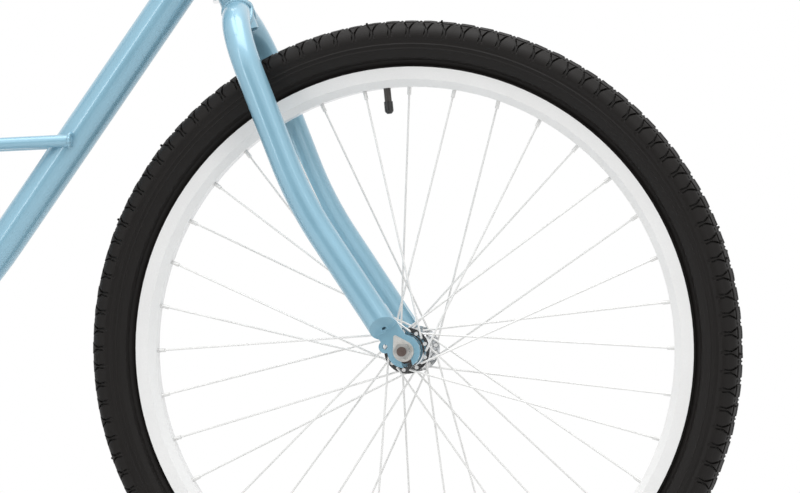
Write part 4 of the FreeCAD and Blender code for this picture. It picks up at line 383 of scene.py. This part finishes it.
def tyre_section():
    """The tyre's section in millimetres, as (across, radius) points: skin, height of its ribs, and lining.

    The skin runs from the right-hand bead over the crown to the left-hand bead, and the lining runs back
    inside. The crown's points lie on the walls and floors of its ring grooves, and the side wall's on its two
    fine ribs.
    """
    bead_foot, bead_top = (11.3, 277.0), (11.3, 287.1)
    widest, shoulder = (27, 311), (20, 328.4)
    wall_radius, shoulder_radius, crown_radius, tyre_radius = 25, 16, 46, 333
    wall = np.array([0.2, 0.4, 0.6, 0.70, 0.735, 0.77, 0.85, 0.885, 0.92, 1.0])
    rib_places, rib_height = (0.735, 0.885), 0.6
    bend = np.linspace(0.09, 1, 11)
    crown = np.array([18.2, 17.5, 15.6, 15.0, 11.5, 8.4, 7.8, 6.0, 5.4, 2.5, 0])
    half = np.concatenate([
        [bead_foot, bead_top],
        arc(bead_top, widest, wall_radius, wall),
        arc(widest, shoulder, shoulder_radius, bend),
        np.stack([crown, tyre_radius - crown_radius + np.sqrt(crown_radius ** 2 - crown ** 2)], -1),
    ])
    outer = np.concatenate([half, (half * [-1, 1])[::-1][1:]])
    rib = np.concatenate([[0, 0], rib_height * np.isin(wall, rib_places), np.zeros(len(bend) + len(crown))])
    inner = np.array([[-8.1, 277.0], [-8.1, 288.1], [-23.8, 311], [0, 329.6],
                      [23.8, 311], [8.1, 288.1], [8.1, 277.0]])
    return outer, np.concatenate([rib, rib[::-1][1:]]), inner


def smooth_step(low, high, x):
    """0 up to low, 1 from high on, and between them three times the share squared less twice its cube."""
    share = np.clip((x - low) / (high - low), 0, 1)
    return share * share * (3 - 2 * share)


def tyre(name, centre, body, replaced):
    """A tyre's skin on a grid of angle by section.

    Climb is the way up the tread: 0 at its foot, about 1 at the shoulder and 2.5 at the middle of the crown.
    Each block has twelve columns. Four of them on each side lie on the walls and floor of a slit that leaves
    the foot of the block, closes in, and forks out over the tread, so the slit's edges stay sharp. The skin
    sinks on the floor columns and in the ring grooves, and stands proud on the blocks and on the side wall's
    ribs.
    """
    blocks, half_block = 108, 0.5
    block_height, ring_depth, wedge_depth, low_block_depth = 0.7, 1.8, 0.6, 0.35
    tread_foot, tread_rise, shoulder_edge, crown_run = 313.5, 15.0, 20, 16.0
    outer, rib, inner = tyre_section()
    across, radius = outer.T
    edge = np.abs(across)
    over_crown = np.where(edge < shoulder_edge, (shoulder_edge - edge) / crown_run, 0)
    climb = (radius - tread_foot) / tread_rise + over_crown
    fork = np.interp(climb, [0, 0.3, 0.55, 0.7, 1.2, 1.5, 2.3], [0.115, 0.10, 0.075, 0.085, 0.30, 0.38, 0.40])
    half_slit = np.interp(climb, [0, 0.5, 0.7, 1.2, 2.3], [0.050, 0.045, 0.060, 0.070, 0.085])
    half_floor = 0.6 * half_slit
    side = np.stack([fork - half_slit, fork - half_floor, fork + half_floor, fork + half_slit,
                     (fork + half_slit + half_block) / 2])
    middle = np.zeros((1, len(outer)))
    place = np.concatenate([middle - half_block, -side[::-1], middle, side])
    on_floor = np.array([0, 0, 0, 1, 1, 0, 0, 0, 1, 1, 0, 0])[:, None]
    angle = (np.arange(blocks)[:, None, None] + place[None]) / blocks * 2 * math.pi
    angle = angle.reshape(-1, len(outer))
    slit = on_floor * np.interp(climb, [0.16, 0.36, 1.2, 1.5], [0, 2.6, 2.2, 1.2])
    outer_ring = (edge > 15.3) & (edge < 17.8)
    inner_ring = (edge > 5.7) & (edge < 8.1)
    ring = ring_depth * (outer_ring | inner_ring)
    between = np.abs(place) < fork - 0.8 * half_slit
    beyond = np.abs(place) > fork + 0.8 * half_slit
    wedge = wedge_depth * between * (climb > 0.05) * (climb < 0.75)
    low_block = low_block_depth * beyond * (climb > 1.3)
    sunk = np.maximum(slit, np.maximum(ring, wedge + low_block))
    proud = block_height * smooth_step(-0.12, 0.02, climb) - block_height + rib - sunk
    uneven = np.random.default_rng(11).uniform(-0.35, 0.15, (blocks * len(place), 1))
    proud = np.tile(proud, (blocks, 1)) + uneven * smooth_step(1.1, 1.4, climb)
    slope = np.gradient(outer, axis=0)
    outward = unit(np.stack([slope[:, 1], -slope[:, 0]], -1))
    skin = outer[None] + proud[..., None] * outward[None]
    lining = np.broadcast_to(inner, (len(angle), *inner.shape))
    section = np.concatenate([skin, lining], 1) / 1000
    turn = np.concatenate([angle, np.repeat(angle[:, -1:], len(inner), 1)], 1)
    reach, beside = section[..., 1], -section[..., 0]
    points = np.stack([reach * np.cos(turn), beside, reach * np.sin(turn)], -1) + centre
    faces = grid_faces(len(angle), section.shape[1], True, True)
    piece = mesh_piece(name, points, faces, tyre_rubber, body, smooth=False)
    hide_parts(replaced)


tyre("front_tread", front_hub, "front_wheel", "front_tyre")
tyre("rear_tread", rear_hub, "rear_wheel", "rear_tyre")

# Vent nubs: short pips of rubber that the mould's vents leave on the edges of the tread.
# They are part of the tyre, in the same rubber, and stand at random angles.
nubs = 22
nub_sides = 8
nub_foot = 0.3304
nub_beside = 0.0125
nub_heights = (0.0016, 0.0034)
nub_up = np.array([0, 0, 0.5, 0.85, 1.0])
nub_wide = np.array([0, 0.0013, 0.0013, 0.0010, 0])


def vent_nubs(name, centre, body, seed):
    """Domed pegs at random angles: circles whose radius follows from the share of the peg's height."""
    draw = np.random.default_rng(seed)
    turn = draw.uniform(0, 2 * math.pi, nubs)[:, None, None]
    across = np.where(draw.random(nubs) < 0.5, -nub_beside, nub_beside)[:, None, None]
    tall = draw.uniform(*nub_heights, nubs)[:, None, None]
    peg_turn = np.linspace(0, 2 * math.pi, nub_sides, endpoint=False)[None, None, :]
    up = nub_up[None, :, None]
    wide = nub_wide[None, :, None]
    radius = nub_foot + up * tall + 0 * peg_turn
    along = wide * np.cos(peg_turn) + 0 * tall
    beside = across + wide * np.sin(peg_turn) + 0 * tall
    points = np.stack([radius * np.cos(turn) - along * np.sin(turn), beside,
                       radius * np.sin(turn) + along * np.cos(turn)], -1)
    peg_faces = grid_faces(len(nub_up), nub_sides, False, True)[:, ::-1]
    peg_starts = len(nub_up) * nub_sides * np.arange(nubs)[:, None, None]
    faces = (peg_faces[None] + peg_starts).reshape(-1, 4)
    piece = mesh_piece(name, points + centre, faces, tyre_rubber, body)


vent_nubs("front_vent_nubs", front_hub, "front_wheel", 5)
vent_nubs("rear_vent_nubs", rear_hub, "rear_wheel", 6)

# Inner tubes and valve caps: dark moulded rubber, whose valve stem comes out through the rim.
# The cap is black plastic and screws on the stem.
stem_rubber = finish(
    "valve_stem_rubber", dark=(0.030, 0.026, 0.023), light=(0.050, 0.044, 0.040), rough=(0.4, 0.55),
    bump=0.05, scales=(90.0, 900.0))
cap_plastic = finish(
    "cap_plastic", dark=(0.012, 0.012, 0.012), light=(0.022, 0.022, 0.022), rough=(0.3, 0.42), bump=0.04,
    scales=(90.0, 900.0))
wear_on(stem_rubber, "front_inner_tube", "rear_inner_tube")
wear_on(cap_plastic, "front_valve_cap", "rear_valve_cap")

# Pedals: two ribbed blocks of black moulded rubber, held between the end plates of a steel cage.
# The cage's plates and sleeve are zinc plated, and the sleeve turns on a spindle screwed into the crank.
block_rubber = finish(
    "block_rubber", dark=(0.016, 0.016, 0.016), light=(0.030, 0.030, 0.029), rough=(0.5, 0.68), bump=0.15,
    scales=(60.0, 1800.0))
bar_sides = 56
block_share = 0.135
block_square = 0.22
block_steps = 73
block_edge = 0.0015
block_edge_eased = 0.0004
pedal_rib_pitch = 0.0105
pedal_rib_depth = 0.0016
plate_inside = 0.0055
plate_half = 0.0025
plate_short = 0.002
plate_low = 0.003
plate_square = 0.25
plate_run = np.array([-1, -1, -0.8, 0.8, 1, 1])
plate_inset = np.array([0.0005, 0.0005, 0, 0, 0.0005, 0.0005])


def oblong_bar(middle, half_long, half_high, square, along, inset, rib):
    """Closed bar along the pedal's axle.

    At each station the section is an oblong between a circle (square 1) and a box (square near 0). Each
    station is drawn in by an inset, and its height grows by a rib. The first and last stations shut to a
    point.
    """
    turn = np.linspace(0, 2 * math.pi, bar_sides, endpoint=False)[None, :]
    across = np.sign(np.cos(turn)) * np.abs(np.cos(turn)) ** square
    up = np.sign(np.sin(turn)) * np.abs(np.sin(turn)) ** square
    open_end = np.ones((len(along), 1))
    open_end[[0, -1]] = 0
    long = (half_long - inset)[:, None] * across * open_end
    high = (half_high - inset + rib)[:, None] * up * open_end
    return middle + np.stack([long, along[:, None] + 0 * turn, high], -1)


def bars_piece(name, bars, material, body):
    """Several bars of the same count of stations, with their faces outwards, as one piece."""
    stations = bars[0].shape[0]
    bar_faces = grid_faces(stations, bar_sides, False, True)[:, ::-1]
    faces = np.concatenate([bar_faces + k * stations * bar_sides for k in range(len(bars))])
    return mesh_piece(name, np.stack(bars), faces, material, body)


for word in ("right", "left"):
    low, high = (np.array(corner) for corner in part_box(f"{word}_pedal"))
    middle, half = (low + high) / 2, (high - low) / 2
    half_long, half_wide, half_high = half
    block_half = block_share * 2 * half_long
    along = np.concatenate([
        [-half_wide, -half_wide, -half_wide + block_edge],
        np.linspace(-half_wide + 2 * block_edge, half_wide - 2 * block_edge, block_steps),
        [half_wide - block_edge, half_wide, half_wide],
    ])
    inset = np.zeros(len(along))
    inset[[0, 1, -2, -1]] = block_edge
    inset[[2, -3]] = block_edge_eased
    rib_wave = np.cos(along / pedal_rib_pitch * 2 * math.pi)
    ribs = -pedal_rib_depth + pedal_rib_depth * smooth_step(-0.5, 0.1, rib_wave)
    blocks = [oblong_bar(middle + [way * (half_long - block_half), 0, 0], block_half, half_high, block_square,
                         along, inset, ribs) for way in (-1, 1)]
    treads = bars_piece(f"{word}_pedal_rubbers", blocks, block_rubber, f"{word}_pedal")
    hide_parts(f"{word}_pedal")
    no_ribs = 0 * plate_run
    steel = [oblong_bar(middle + [0, end, 0], half_long - plate_short, half_high - plate_low, plate_square,
                        plate_half * plate_run, plate_inset, no_ribs)
             for end in (-half_wide + plate_inside, half_wide - plate_inside)]
    sleeve_radius, sleeve_half = half_high - 0.001, half_wide - 0.0002
    steel.append(oblong_bar(middle, sleeve_radius, sleeve_radius, 1.0, sleeve_half * plate_run, plate_inset,
                            no_ribs))
    cage = bars_piece(f"{word}_pedal_cage", steel, zinc, f"{word}_pedal")
    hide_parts(f"{word}_pedal")

# Grips: sleeves of soft black rubber, pushed on the ends of the handlebar.
# Each is moulded with finger rings, a collar at its inner end and a closed, rounded outer end.
bar_clamp = steer_foot + 0.657 * steer_up + 0.0446 * steer_ahead
grip_sides = 40
ring_steps = 116
ring_low = 0.0147
ring_rise = 0.0010
ring_pitch = 0.0062
first_ring = 0.006
last_ring = 0.009
end_run = [0, 0.0004, 0.0016, 0.0034]
end_radius = [0, 0.0118, 0.0146, 0.0156]
collar_run = np.array([0.0075, 0.006, 0.0012, 0.0003, 0])
collar_radius = [0.0158, 0.0160, 0.0160, 0.0154, 0]


def vertex_array(mesh):
    """A mesh's points as rows of x, y, z."""
    flat = np.empty(len(mesh.vertices) * 3)
    mesh.vertices.foreach_get("co", flat)
    return flat.reshape(-1, 3)


for side, word in ((-1, "right"), (1, "left")):
    bar_end = bar_clamp + [-0.250, side * 0.330, 0.070]
    inward = unit(np.array([0.240, -side * 0.045, 0.030]))
    reach = (vertex_array(node[f"{word}_grip"].data) - bar_end) @ inward
    outer_end = reach.min()
    length = reach.max() - outer_end
    ring_run = np.linspace(first_ring, length - last_ring, ring_steps)
    run = np.concatenate([end_run, ring_run, length - collar_run])
    rings = ring_low + ring_rise * smooth_step(-0.35, 0.35, np.cos(run / ring_pitch * 2 * math.pi))
    rings[:len(end_run)] = end_radius
    rings[-len(collar_run):] = collar_radius
    across = unit(np.cross(inward, [0, 0, 1.0]))
    turn = np.linspace(0, 2 * math.pi, grip_sides, endpoint=False)[None, :, None]
    circle = np.cos(turn) * across + np.sin(turn) * np.cross(inward, across)
    sleeve = bar_end + (outer_end + run)[:, None, None] * inward + rings[:, None, None] * circle
    sleeve_faces = grid_faces(len(run), grip_sides, False, True)
    grip = mesh_piece(f"{word}_rubber_grip", sleeve, sleeve_faces, block_rubber, "handlebar")
    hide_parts(f"{word}_grip")

# Saddle: a wide sprung seat of foam under black vinyl, with a sewn top panel and a channel along its middle.
# The cover is sewn a little small and stretched over its foam, so it is let swell and settle as cloth. Its
# seam and channel are drawn in after that.
saddle_vinyl = finish(
    "saddle_vinyl", dark=(0.016, 0.015, 0.0145), light=(0.028, 0.0265, 0.025), rough=(0.38, 0.52), bump=0.3,
    scales=(30.0, 900.0))
seat_low, seat_high = (np.array(corner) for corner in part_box("saddle_cushion"))
seat_back, seat_nose, seat_edge = seat_low[0], seat_high[0], seat_low[2] + 0.012
plan_x = np.array([-118, -116, -110, -100, -85, -65, -40, -10, 20, 60, 100, 135, 152, 160, 164, 165]) / 1000
plan_x = plan_x - plan_x[0]
plan_y = np.array([0, 34, 66, 92, 112, 119, 111, 92, 72, 50, 38, 32, 27, 20, 10, 0]) / 1000
crest_x = np.array([0, 13, 48, 98, 158, 218, 268, 283]) / 1000
crest_z = np.array([22, 32, 37.5, 33, 27, 25, 22, 14]) / 1000
belly = 0.009
seat_stations = 72
seat_sides = 64
cover_voxel = 0.005
cover_steps = 20
most_swell = 0.006
seam_place, seam_width, seam_depth = 0.7, 0.045, 0.0028
channel_width, channel_depth = 0.007, 0.0045


def seat_half_width(x):
    """Half the seat's width at a distance from its rear edge, eased between its plan's points."""
    spread = np.linspace(-0.006, 0.006, 7)
    return np.mean([np.interp(x + s, plan_x, plan_y) for s in spread], 0) * smooth_step(-0.004, 0.002, x)


def seat_cover():
    """Closed cover: for each station along the seat, a section that is domed above its widest line.

    Above that line the section is a flattened oval up to the crest, and below it is nearly flat. The stations
    crowd at the two ends, where width, crest and belly close to a point.
    """
    share = np.linspace(0, 1, seat_stations)
    x = (0.5 - 0.5 * np.cos(math.pi * share)) * (seat_nose - seat_back)
    width = seat_half_width(x) * np.sin(math.pi * share) ** 0.02
    ends = np.sin(math.pi * share) ** 0.3
    crest = np.interp(x, crest_x, crest_z) * ends
    turn = np.linspace(0, 2 * math.pi, seat_sides, endpoint=False)[None, :]
    up = np.sin(turn)
    out = np.sign(np.cos(turn)) * np.abs(np.cos(turn)) ** 0.8
    above_line = crest[:, None] * np.abs(up) ** 0.75
    below_line = -belly * ends[:, None] * np.abs(up) ** 0.6
    rise = np.where(up > 0, above_line, below_line)
    return np.stack([seat_back + x[:, None] + 0 * turn, width[:, None] * out, seat_edge + rise], -1)


def settle(piece, mesh_name):
    """Replaces a piece's mesh by the mesh that its modifiers give, and takes them off."""
    shape = piece.evaluated_get(bpy.context.evaluated_depsgraph_get())
    settled = bpy.data.meshes.new_from_object(shape)
    settled.name = mesh_name
    piece.modifiers.clear()
    piece.data = settled


cover_faces = grid_faces(seat_stations, seat_sides, False, True)[:, ::-1]
cover = mesh_piece("saddle_cover", seat_cover(), cover_faces, saddle_vinyl, "saddle")
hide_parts("saddle_cushion")
remesh = cover.modifiers.new("even_mesh", "REMESH")
remesh.mode = "VOXEL"
remesh.voxel_size = cover_voxel
settle(cover, "saddle_cover_even")
sewn = vertex_array(cover.data)
swell = cover.modifiers.new("cover_cloth", "CLOTH")
swell.settings.use_pressure = True
swell.settings.uniform_pressure_force = 4.0
swell.settings.tension_stiffness = 40.0
swell.settings.compression_stiffness = 40.0
swell.settings.bending_stiffness = 4.0
swell.settings.effector_weights.gravity = 0.0
for step in range(1, cover_steps + 1):
    bpy.context.scene.frame_set(step)
settle(cover, "saddle_cover_swelled")
moved = vertex_array(cover.data) - sewn
moved -= moved.mean(0)
length = np.linalg.norm(moved, axis=1, keepdims=True)
sewn = sewn + moved * np.minimum(1, most_swell / np.maximum(length, 1e-9))
bpy.context.scene.frame_set(1)
cover.data.vertices.foreach_set("co", sewn.reshape(-1))
rounded = cover.modifiers.new("rounded", "SUBSURF")
rounded.levels = 1
rounded.render_levels = 1
settle(cover, "saddle_cover_rounded")
sewn = vertex_array(cover.data)
from_back = sewn[:, 0] - seat_back
beside = np.abs(sewn[:, 1]) / np.maximum(seat_half_width(from_back), 0.01)
above = smooth_step(0.0, 0.010, sewn[:, 2] - seat_edge)
seam = np.exp(-((beside - seam_place) / seam_width) ** 2) * above
channel = np.exp(-(sewn[:, 1] / channel_width) ** 2) * above
channel *= smooth_step(0.03, 0.08, from_back) * (1 - smooth_step(0.2, 0.25, from_back))
drawn_in = sewn[:, 2] - seam_depth * seam - channel_depth * channel
sewn[:, 2] = np.clip(drawn_in, seat_low[2], seat_high[2])
cover.data.vertices.foreach_set("co", sewn.reshape(-1))
cover.data.polygons.foreach_set("use_smooth", np.full(len(cover.data.polygons), True))
cover.data.update()

# Saddle piping: a cord covered in the same vinyl, sewn into the seam between the cover and its base.
# Its line is read from the settled cover: for each bearing from a point in the seat, the widest reach of the
# points near the edge.
pipe_steps = 220
pipe_radius = 0.0026
pipe_sunk = 0.0006
pipe_drop = 0.001
edge_near = 0.004
bearing_near = 0.022
pipe_middle = np.array([seat_back + 0.085, 0])
edge_band = sewn[np.abs(sewn[:, 2] - seat_edge) < edge_near]
bearing = np.arctan2(edge_band[:, 1], edge_band[:, 0] - pipe_middle[0])
spread = np.linalg.norm(edge_band[:, :2] - pipe_middle, axis=1)
pipe_turn = np.linspace(-math.pi, math.pi, pipe_steps, endpoint=False)
apart = np.abs((bearing[None, :] - pipe_turn[:, None] + math.pi) % (2 * math.pi) - math.pi)
pipe_reach = np.where(apart < bearing_near, spread[None, :], 0).max(1)
pipe_reach = np.mean([np.roll(pipe_reach, shift) for shift in (-2, -1, 0, 1, 2)], 0) - pipe_sunk
pipe_line = np.stack([pipe_middle[0] + pipe_reach * np.cos(pipe_turn), pipe_reach * np.sin(pipe_turn),
                      np.full(pipe_steps, seat_edge - pipe_drop)], -1)
pipe_points = ring_tube(pipe_line, np.full(pipe_steps, pipe_radius))
pipe_faces = grid_faces(pipe_steps, ring_sides, True, True)
piping = mesh_piece("saddle_piping", pipe_points, pipe_faces, saddle_vinyl, "saddle")

# Studio floor: a round pale floor just under the tyres, which takes the soft shadow.
# It fades out towards its edge, so that it runs into the white surround without a line.
floor_white = bpy.data.materials.new("floor_white")
floor_white.use_nodes = True
nodes, links = floor_white.node_tree.nodes, floor_white.node_tree.links
nodes["Principled BSDF"].inputs["Base Color"].default_value = (0.86, 0.86, 0.86, 1)
nodes["Principled BSDF"].inputs["Roughness"].default_value = 0.9
floor_radius = 2.0
floor_rings = 6
floor_sides = 96
floor_drop = 0.0005
place = nodes.new("ShaderNodeTexCoord")
distance = nodes.new("ShaderNodeVectorMath")
distance.operation = "LENGTH"
links.new(place.outputs["Object"], distance.inputs[0])
fade = nodes.new("ShaderNodeMapRange")
fade.interpolation_type = "SMOOTHSTEP"
fade.inputs["From Min"].default_value = 1.0
fade.inputs["From Max"].default_value = floor_radius
fade.inputs["To Min"].default_value = 1.0
fade.inputs["To Max"].default_value = 0.0
links.new(distance.outputs["Value"], fade.inputs["Value"])
links.new(fade.outputs["Result"], nodes["Principled BSDF"].inputs["Alpha"])
turn = np.linspace(0, 2 * math.pi, floor_sides, endpoint=False)
reach = np.linspace(0.001, floor_radius, floor_rings)[:, None]
level = np.full((floor_rings, floor_sides), -floor_drop)
disc = np.stack([reach * np.cos(turn), reach * np.sin(turn), level], -1)
floor_faces = grid_faces(floor_rings, floor_sides, False, True)
floor_mesh = bpy.data.meshes.new("floor")
floor_mesh.from_pydata(disc.reshape(-1, 3).tolist(), [], floor_faces.tolist())
floor_mesh.materials.append(floor_white)
floor = bpy.data.objects.new("floor", floor_mesh)
bpy.context.scene.collection.objects.link(floor)

# Studio light: a white surround, one large soft lamp above, and two narrow strip lamps in front.
# The surround is full white where it is seen or mirrored and a little weaker as light, and the strips draw
# thin highlights along the tubes.
world = bpy.data.worlds.new("white_studio")
bpy.context.scene.world = world
world.use_nodes = True
nodes, links = world.node_tree.nodes, world.node_tree.links
ray = nodes.new("ShaderNodeLightPath")
seen = nodes.new("ShaderNodeMath")
seen.operation = "MAXIMUM"
links.new(ray.outputs["Is Camera Ray"], seen.inputs[0])
links.new(ray.outputs["Is Transmission Ray"], seen.inputs[1])
mirrored = nodes.new("ShaderNodeMath")
mirrored.operation = "MAXIMUM"
links.new(seen.outputs[0], mirrored.inputs[0])
links.new(ray.outputs["Is Glossy Ray"], mirrored.inputs[1])
strength = nodes.new("ShaderNodeMapRange")
strength.inputs["To Min"].default_value = 0.75
strength.inputs["To Max"].default_value = 1.0
links.new(mirrored.outputs[0], strength.inputs["Value"])
nodes["Background"].inputs["Color"].default_value = (1, 1, 1, 1)
links.new(strength.outputs["Result"], nodes["Background"].inputs["Strength"])


def softbox(name, place, aim, width, height, power):
    """An oblong lamp at a place, turned to face a point; its power is in watts."""
    lamp = bpy.data.lights.new(name, "AREA")
    lamp.shape = "RECTANGLE"
    lamp.size = width
    lamp.size_y = height
    lamp.energy = power
    piece = bpy.data.objects.new(name, lamp)
    piece.location = place
    piece.rotation_euler = (Vector(aim) - Vector(place)).to_track_quat("-Z", "Y").to_euler()
    bpy.context.scene.collection.objects.link(piece)


softbox("top_softbox", place=(0.4, -0.8, 3.2), aim=(0.2, 0, 0.4), width=3.0, height=3.0, power=86)
softbox("left_softbox", place=(-0.9, -2.2, 1.1), aim=(0.4, 0, 0.5), width=0.25, height=1.8, power=6.5)
softbox("right_softbox", place=(2.5, -1.9, 1.1), aim=(0.4, 0, 0.5), width=0.2, height=1.8, power=3.5)

# Black flag: a dark card that stands on the floor behind the camera, a little higher than the bicycle.
# It is hidden from the camera and from shadow rays, is seen in polished metal and by diffuse light, and gives
# the chrome its dark parts.
flag_black = bpy.data.materials.new("flag_black")
flag_black.use_nodes = True
flag_black.node_tree.nodes["Principled BSDF"].inputs["Base Color"].default_value = (0.03, 0.03, 0.03, 1)
flag_black.node_tree.nodes["Principled BSDF"].inputs["Roughness"].default_value = 1.0
flag_left, flag_right, flag_back, flag_height = -1.2, 2.4, -3.2, 1.3
flag_corners = [(flag_left, flag_back, 0.0), (flag_right, flag_back, 0.0),
                (flag_right, flag_back, flag_height), (flag_left, flag_back, flag_height)]
flag_mesh = bpy.data.meshes.new("black_flag")
flag_mesh.from_pydata(flag_corners, [], [(0, 1, 2, 3)])
flag_mesh.materials.append(flag_black)
flag = bpy.data.objects.new("black_flag", flag_mesh)
bpy.context.scene.collection.objects.link(flag)
flag.visible_camera = False
flag.visible_shadow = False

# Camera: a long lens on the bicycle's right side, nearly level, a little above the height of the hubs.
# Its place, turn and lens are those at which the edges of the wheel, fork and tubes lie as in the photograph.
camera = bpy.data.cameras.new("camera")
camera.sensor_fit = "HORIZONTAL"
camera.sensor_width = 36.0
camera.lens = 133.39
view = bpy.data.objects.new("camera", camera)
view.location = (1.07256, -2.95295, 0.44610)
yaw = math.radians(10.37)
dip = math.radians(0.17)
look = Vector((-math.sin(yaw) * math.cos(dip), math.cos(yaw) * math.cos(dip), -math.sin(dip)))
view.rotation_euler = look.to_track_quat("-Z", "Y").to_euler()
bpy.context.scene.collection.objects.link(view)
bpy.context.scene.camera = view
bpy.context.scene.view_settings.view_transform = "Standard"
